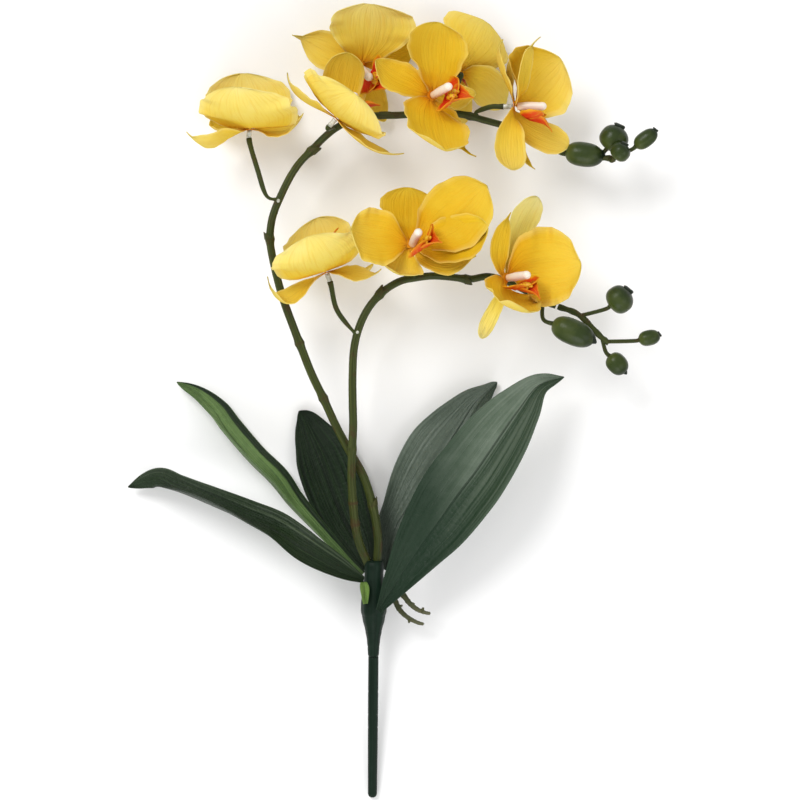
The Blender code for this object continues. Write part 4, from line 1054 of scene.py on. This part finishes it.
def bud_piece(name, node, spray):
    """A spray of buds: a joined stalk and swollen buds with three seams each."""
    shape = Shape()
    route = spline([at(*p) for p in spray["stalk"]], STALK_STEPS)
    radii = [STEM_RADIUS * 0.7 * (1.0 + 0.1 * sin(i * 1.1)) for i in range(STALK_STEPS + 1)]
    shape.sweep(route, radii, 14)
    for k, (start, bend, end, radius) in enumerate(spray["buds"]):
        start, bend, end = at(*start), at(*bend), at(*end)
        line = end - bend
        base = bend + line * 0.18
        stalk = spline([start, bend, base + line * 0.06], 14)
        shape.sweep(stalk, [PEDICEL_RADIUS * 0.8 * (1.0 + 0.25 * smooth((i - 9) / 5)) for i in range(15)], 12)
        body, sizes = [], []
        for i in range(BUD_STEPS + 1):
            t = i / BUD_STEPS
            t = 0.5 - 0.5 * cos(pi * t)
            body.append(base + (end - base) * t)
            full = 1.0 - abs(2.0 * t ** 0.92 - 1.0) ** 2.5
            sizes.append(radius * sqrt(max(0.02, full)))
        phase = 0.7 + k

        def seams(s, angle, phase=phase):
            cut = exp(-((cos(1.5 * angle + phase)) / 0.16) ** 2)
            groove = 0.055 * cut * sin(pi * min(1.0, max(0.0, s)))
            return 1.0 - groove + 0.02 * cos(2 * angle + phase)

        shape.sweep(body, sizes, 28, tone=0.3 * (k % 2), paint=1, shape=seams)
        beak_line = (line.normalized() + Vector((0.35, -0.55, 0.0))).normalized()
        beak = [end + beak_line * radius * (0.16 * j - 0.42) for j in range(5)]
        shape.sweep(beak, [radius * r for r in (0.5, 0.46, 0.34, 0.2, 0.07)], 16, tone=1.0, paint=1)
        ring = [base + line.normalized() * (0.0002 + 0.001 * j) for j in range(3)]
        shape.sweep(ring, [PEDICEL_RADIUS * 1.25, PEDICEL_RADIUS * 1.6, PEDICEL_RADIUS * 1.2], 14)
    shape.piece(name, [node], [PAINT["stem"], PAINT["bud"]])


def leaf_piece(name, node, stations, paint, rows=90, cols=24, wave=0.0012):
    """A strap leaf: midrib channel and soft waves."""
    lines = spline([at(*row[:3]) for row in stations], rows)
    extra = spline([Vector((row[3], row[4] * 0.001, row[5])) for row in stations], rows)
    rng = random.Random(name)
    phase = [rng.uniform(0.0, PHASE_RANGE) for _ in range(4)]
    verts, place = [], []
    for i, point in enumerate(lines):
        s = i / rows
        along = (lines[min(i + 1, rows)] - lines[max(i - 1, 0)]).normalized()
        half = max(0.0009, extra[i].x)
        tip = (1.0 - s) / 0.06
        if tip < 1.0:
            half = max(0.0003, half * sqrt(max(0.0, 1.0 - (1.0 - tip) ** 2)))
        roll = radians(extra[i].y * 1000)
        up = across(Vector((0.0, 0.0, 1.0)), along)
        side = along.cross(up)
        normal = up * cos(roll) + side * sin(roll)
        side = along.cross(normal)
        size = half / 0.02
        for k in range(cols + 1):
            u = 2.0 * k / cols - 1.0
            u = sin(u * pi / 2) * 0.3 + u * 0.7
            edge = abs(u)
            sag = extra[i].z * (u * u - 0.45) + extra[i].z * 0.35 * (edge - 0.5)
            ripple = wave * size * edge ** 2 * sin(11.0 * s + phase[0 if u > 0 else 1])
            ripple += wave * 0.4 * size * sin(4.0 * u + 6.0 * s + phase[2])
            rib = -RIB_DEPTH * exp(-(u / 0.045) ** 2) * smooth((1 - s) / 0.2)
            veins = VEIN_DEPTH * cos(u * 34.0) * smooth((1 - s) / 0.15)
            verts.append(point + side * half * u + normal * (sag + ripple + rib + veins))
            place.append((u, s))
    faces = [(a, d, c, b) for a, b, c, d in grid_faces(rows, cols)]
    shape = Shape()
    shape.shell(verts, faces, place, LEAF_SHEET, rng.uniform(0.1, 0.9), thin=0.35)
    shape.piece(name, [node], [PAINT[paint]])


def axis_point(distance):
    top, end = at(*AXIS_TOP), at(*AXIS_END)
    return top + (end - top).normalized() * distance


def turned_piece(name, node, stations, radius, rings, flutes, sides=40):
    """A moulded round piece on the stake's axis, with faint rings and flutes."""
    table = [Vector((d, r, 0.0)) for d, r in stations]
    low, high = table[0].x, table[-1].x
    route, radii = [], []
    for i in range(TURNED_STEPS + 1):
        d = low + (high - low) * i / TURNED_STEPS
        for a, b in zip(table, table[1:]):
            if d <= b.x + 1e-9:
                k = (d - a.x) / (b.x - a.x)
                share = a.y + (b.y - a.y) * (0.5 * k + 0.5 * smooth(k))
                break
        for ring, depth in rings:
            share -= depth * exp(-((d - ring) / 0.0005) ** 2)
        route.append(axis_point(d))
        radii.append(radius * share)

    def form(s, angle):
        return 1.0 + flutes * cos(8 * angle) * sin(pi * s)

    shape = Shape()
    shape.sweep(route, radii, sides, shape=form)
    shape.piece(name, [node], [PAINT["stake"]])


def root_piece(name, node, points, prongs):
    """A stub of aerial root, kinked, with short side prongs."""
    shape = Shape()
    route = spline([at(*p) for p in points], ROOT_STEPS)
    rng = random.Random(name)
    radii = [ROOT_RADIUS * (1.05 - 0.55 * i / ROOT_STEPS) * (1.0 + rng.uniform(-0.1, 0.1))
             for i in range(ROOT_STEPS + 1)]
    radii[-1] *= 0.5
    shape.sweep(route, radii, 12)
    for where, reach, length in prongs:
        start = route[where]
        end = start + Vector(reach).normalized() * length
        middle = start.lerp(end, 0.5) + Vector((0.0, 0.0, 0.0006))
        arm = spline([start, middle, end], 14)
        shape.sweep(arm, [ROOT_RADIUS * 0.72 * (1.0 - 0.6 * k / 14) for k in range(15)], 10)
    shape.piece(name, [node], [PAINT["root"]])


def set_stage():
    scene = bpy.context.scene
    camera = bpy.data.cameras.new("camera")
    camera.lens = CAMERA_LENS
    camera.sensor_width = SENSOR_WIDTH
    camera.clip_end = 20.0
    eye = bpy.data.objects.new("camera", camera)
    eye.location = ORIGIN + Vector((0.0, 0.0, CAMERA_HEIGHT))
    scene.collection.objects.link(eye)
    scene.camera = eye

    floor_mesh = bpy.data.meshes.new("floor")
    corners = [(x * FLOOR_HALF, y * FLOOR_HALF, 0.0) for x, y in ((-1, -1), (1, -1), (1, 1), (-1, 1))]
    floor_mesh.from_pydata(corners, [], [(0, 1, 2, 3)])
    floor = bpy.data.objects.new("floor", floor_mesh)
    floor.location.z = -FLOOR_GAP
    scene.collection.objects.link(floor)
    paper = bpy.data.materials.new("floor_paper")
    paper.use_nodes = True
    surface = paper.node_tree.nodes["Principled BSDF"]
    surface.inputs["Base Color"].default_value = (0.9, 0.9, 0.9, 1.0)
    surface.inputs["Roughness"].default_value = 0.9
    surface.inputs["Specular IOR Level"].default_value = 0.1
    floor_mesh.materials.append(paper)

    world = bpy.data.worlds.new("studio")
    scene.world = world
    world.use_nodes = True
    sky = world.node_tree.nodes["Background"]
    sky.inputs["Color"].default_value = (1.0, 1.0, 1.0, 1.0)
    sky.inputs["Strength"].default_value = WORLD_LIGHT
    for name, place, size, power in LIGHTS:
        light = bpy.data.lights.new(name, "AREA")
        light.shape = "DISK"
        light.size = size
        light.energy = power
        lamp = bpy.data.objects.new(name, light)
        lamp.location = place
        lamp.rotation_euler = Vector(place).to_track_quat("Z", "Y").to_euler()
        scene.collection.objects.link(lamp)
    scene.view_settings.view_transform = "Standard"
    scene.view_settings.look = "None"


WORLD_LIGHT = 0.7
LIGHTS = (
    ("key", (-2.2, 2.6, 4.2), 2.4, 150.0),
    ("fill", (3.0, -1.6, 3.6), 3.0, 40.0),
    ("low", (-0.4, -3.4, 2.2), 3.0, 60.0),
)

# Joints on the spikes: where, how much they swell, how brown they are
JOINTS_A = (
    (-0.0806, 0.0992, 0.3, 0.7), (-0.0639, 0.0341, 0.26, 0.8), (-0.0477, 0.0012, 0.24, 0.7),
    (-0.0545, 0.1537, 0.35, 0.6), (-0.0155, -0.0657, 0.2, 0.6), (0.044, 0.177, 0.3, 0.5),
)
JOINTS_B = (
    (-0.0099, 0.0614, 0.3, 0.6), (0.0409, 0.0756, 0.35, 0.4), (-0.0297, -0.0644, 0.18, 1.0),
    (-0.0297, -0.0775, 0.16, 1.0), (-0.03, -0.03, 0.14, 0.5),
)
BRACTS_A = (
    (-0.0545, 0.1537, 60.0, 0.006, 0.0003), (-0.0806, 0.0992, -70.0, 0.0048, 0.0003),
    (-0.0155, -0.0657, 80.0, 0.0052, 0.0003), (-0.0125, 0.1768, 0.0, 0.012, 0.0004),
)
BRACTS_B = (
    (-0.0099, 0.0614, -60.0, 0.0062, 0.0003), (0.0409, 0.0756, 60.0, 0.0048, 0.0003),
)

# Leaf cloth: tones, shine, and where a half or the foot is toned apart; the fourth leaf's grey-green tones
# are painted sheen
LEAF_PAINTS = {
    "leaf_dark": dict(
        dark=(0.004, 0.01, 0.004), light=(0.01, 0.024, 0.008),
        sheen=(0.014, 0.03, 0.012), rib=(0.016, 0.034, 0.012), gloss=0.45, shine=0.2,
    ),
    "leaf_strap": dict(
        dark=(0.005, 0.014, 0.004), light=(0.012, 0.028, 0.008),
        sheen=(0.018, 0.038, 0.013), rib=(0.05, 0.085, 0.04), gloss=0.42, shine=0.25,
        half=((0.012, 0.026, 0.01), (0.06, 0.085, 0.045), 0.55, 0.7),
    ),
    # The fourth leaf: its grey-green body and patches are painted sheen, its darker half and foot the plain
    # leaf green
    "leaf_sheen": dict(
        dark=(0.078, 0.112, 0.075), light=(0.122, 0.158, 0.116),
        sheen=(0.165, 0.205, 0.158), rib=(0.02, 0.034, 0.02), gloss=0.36, shine=0.16,
        half=((0.022, 0.044, 0.022), (0.07, 0.098, 0.066), -0.02, 0.12),
        foot=((0.006, 0.022, 0.009), 0.26, 0.68),
    ),
    "leaf_back": dict(
        dark=(0.062, 0.09, 0.062), light=(0.112, 0.145, 0.11),
        sheen=(0.14, 0.178, 0.138), rib=(0.022, 0.04, 0.024), gloss=0.36, shine=0.4,
        half=((0.01, 0.026, 0.011), (0.036, 0.06, 0.034), -0.05, 0.35),
        foot=((0.03, 0.046, 0.03), 0.05, 0.3),
    ),
    "leaf_bright": dict(
        dark=(0.055, 0.105, 0.03), light=(0.12, 0.205, 0.06),
        sheen=(0.165, 0.27, 0.09), rib=(0.06, 0.12, 0.035), gloss=0.45, shine=0.25,
        half=((0.006, 0.016, 0.006), (0.018, 0.036, 0.014), 0.62, 0.72),
    ),
    "sheath_green": dict(
        dark=(0.09, 0.17, 0.03), light=(0.2, 0.36, 0.06),
        sheen=(0.24, 0.3, 0.08), rib=(0.26, 0.42, 0.1), gloss=0.5,
    ),
}

PAINT = {}
SPIKE_ROUTES = []


def main():
    set_stage()
    PAINT["petal"] = petal_paint()
    PAINT["lip"] = lip_paint()
    PAINT["callus"] = callus_paint()
    PAINT["column"] = column_paint()
    PAINT["stem"] = stem_paint("stem_plastic", (0.022, 0.032, 0.006), (0.056, 0.068, 0.014),
                               (0.05, 0.032, 0.01))
    PAINT["clear"] = clear_paint()
    PAINT["bud"] = bud_paint()
    for name, looks in LEAF_PAINTS.items():
        PAINT[name] = leaf_paint(name, **looks)
    PAINT["stake"] = stake_paint()
    PAINT["root"] = root_paint()

    for points in (SPIKE_A, SPIKE_B):
        SPIKE_ROUTES.extend(spline([at(*p) for p in points], SPIKE_STEPS))
    for name, flower in FLOWERS.items():
        flower_pieces(name, flower)
    spike_piece("spike_a_stem", "spike_a", SPIKE_A, JOINTS_A, BRACTS_A, ((-0.0806, 0.1259, 0.0014),))
    spike_piece("spike_b_stem", "spike_b", SPIKE_B, JOINTS_B, BRACTS_B, ((-0.0304, 0.0428, 0.0013),))
    bud_piece("bud_spray_a", "buds_a", BUDS_A)
    bud_piece("bud_spray_b", "buds_b", BUDS_B)
    leaf_paints = ("leaf_strap", "leaf_bright", "leaf_dark", "leaf_sheen", "leaf_back")
    for number, paint in enumerate(leaf_paints, 1):
        leaf_piece(f"leaf_blade_{number}", f"leaf_{number}", LEAVES[f"leaf_{number}"], paint)
    leaf_piece("sheath_scale", "sheath", LEAVES["sheath"], "sheath_green",
               rows=30, cols=10, wave=0.0)
    turned_piece("collar_body", "collar", COLLAR_STATIONS, COLLAR_RADIUS,
                 ((0.03, 0.02), (0.04, 0.02), (0.05, 0.02)), 0.03)
    turned_piece("stake_rod", "stake", STAKE_STATIONS, STAKE_RADIUS,
                 ((0.079, 0.05), (0.094, 0.05), (0.102, 0.05)), 0.012, sides=28)
    root_piece("root_stub_1", "root_1", ROOTS["root_1"],
               ((14, (1.0, 0.3, 0.0), 0.003), (26, (-0.2, -1.0, 0.0), 0.0026)))
    root_piece("root_stub_2", "root_2", ROOTS["root_2"],
               ((16, (1.0, -0.1, 0.0), 0.003), (28, (0.4, 1.0, 0.0), 0.0026)))


main()
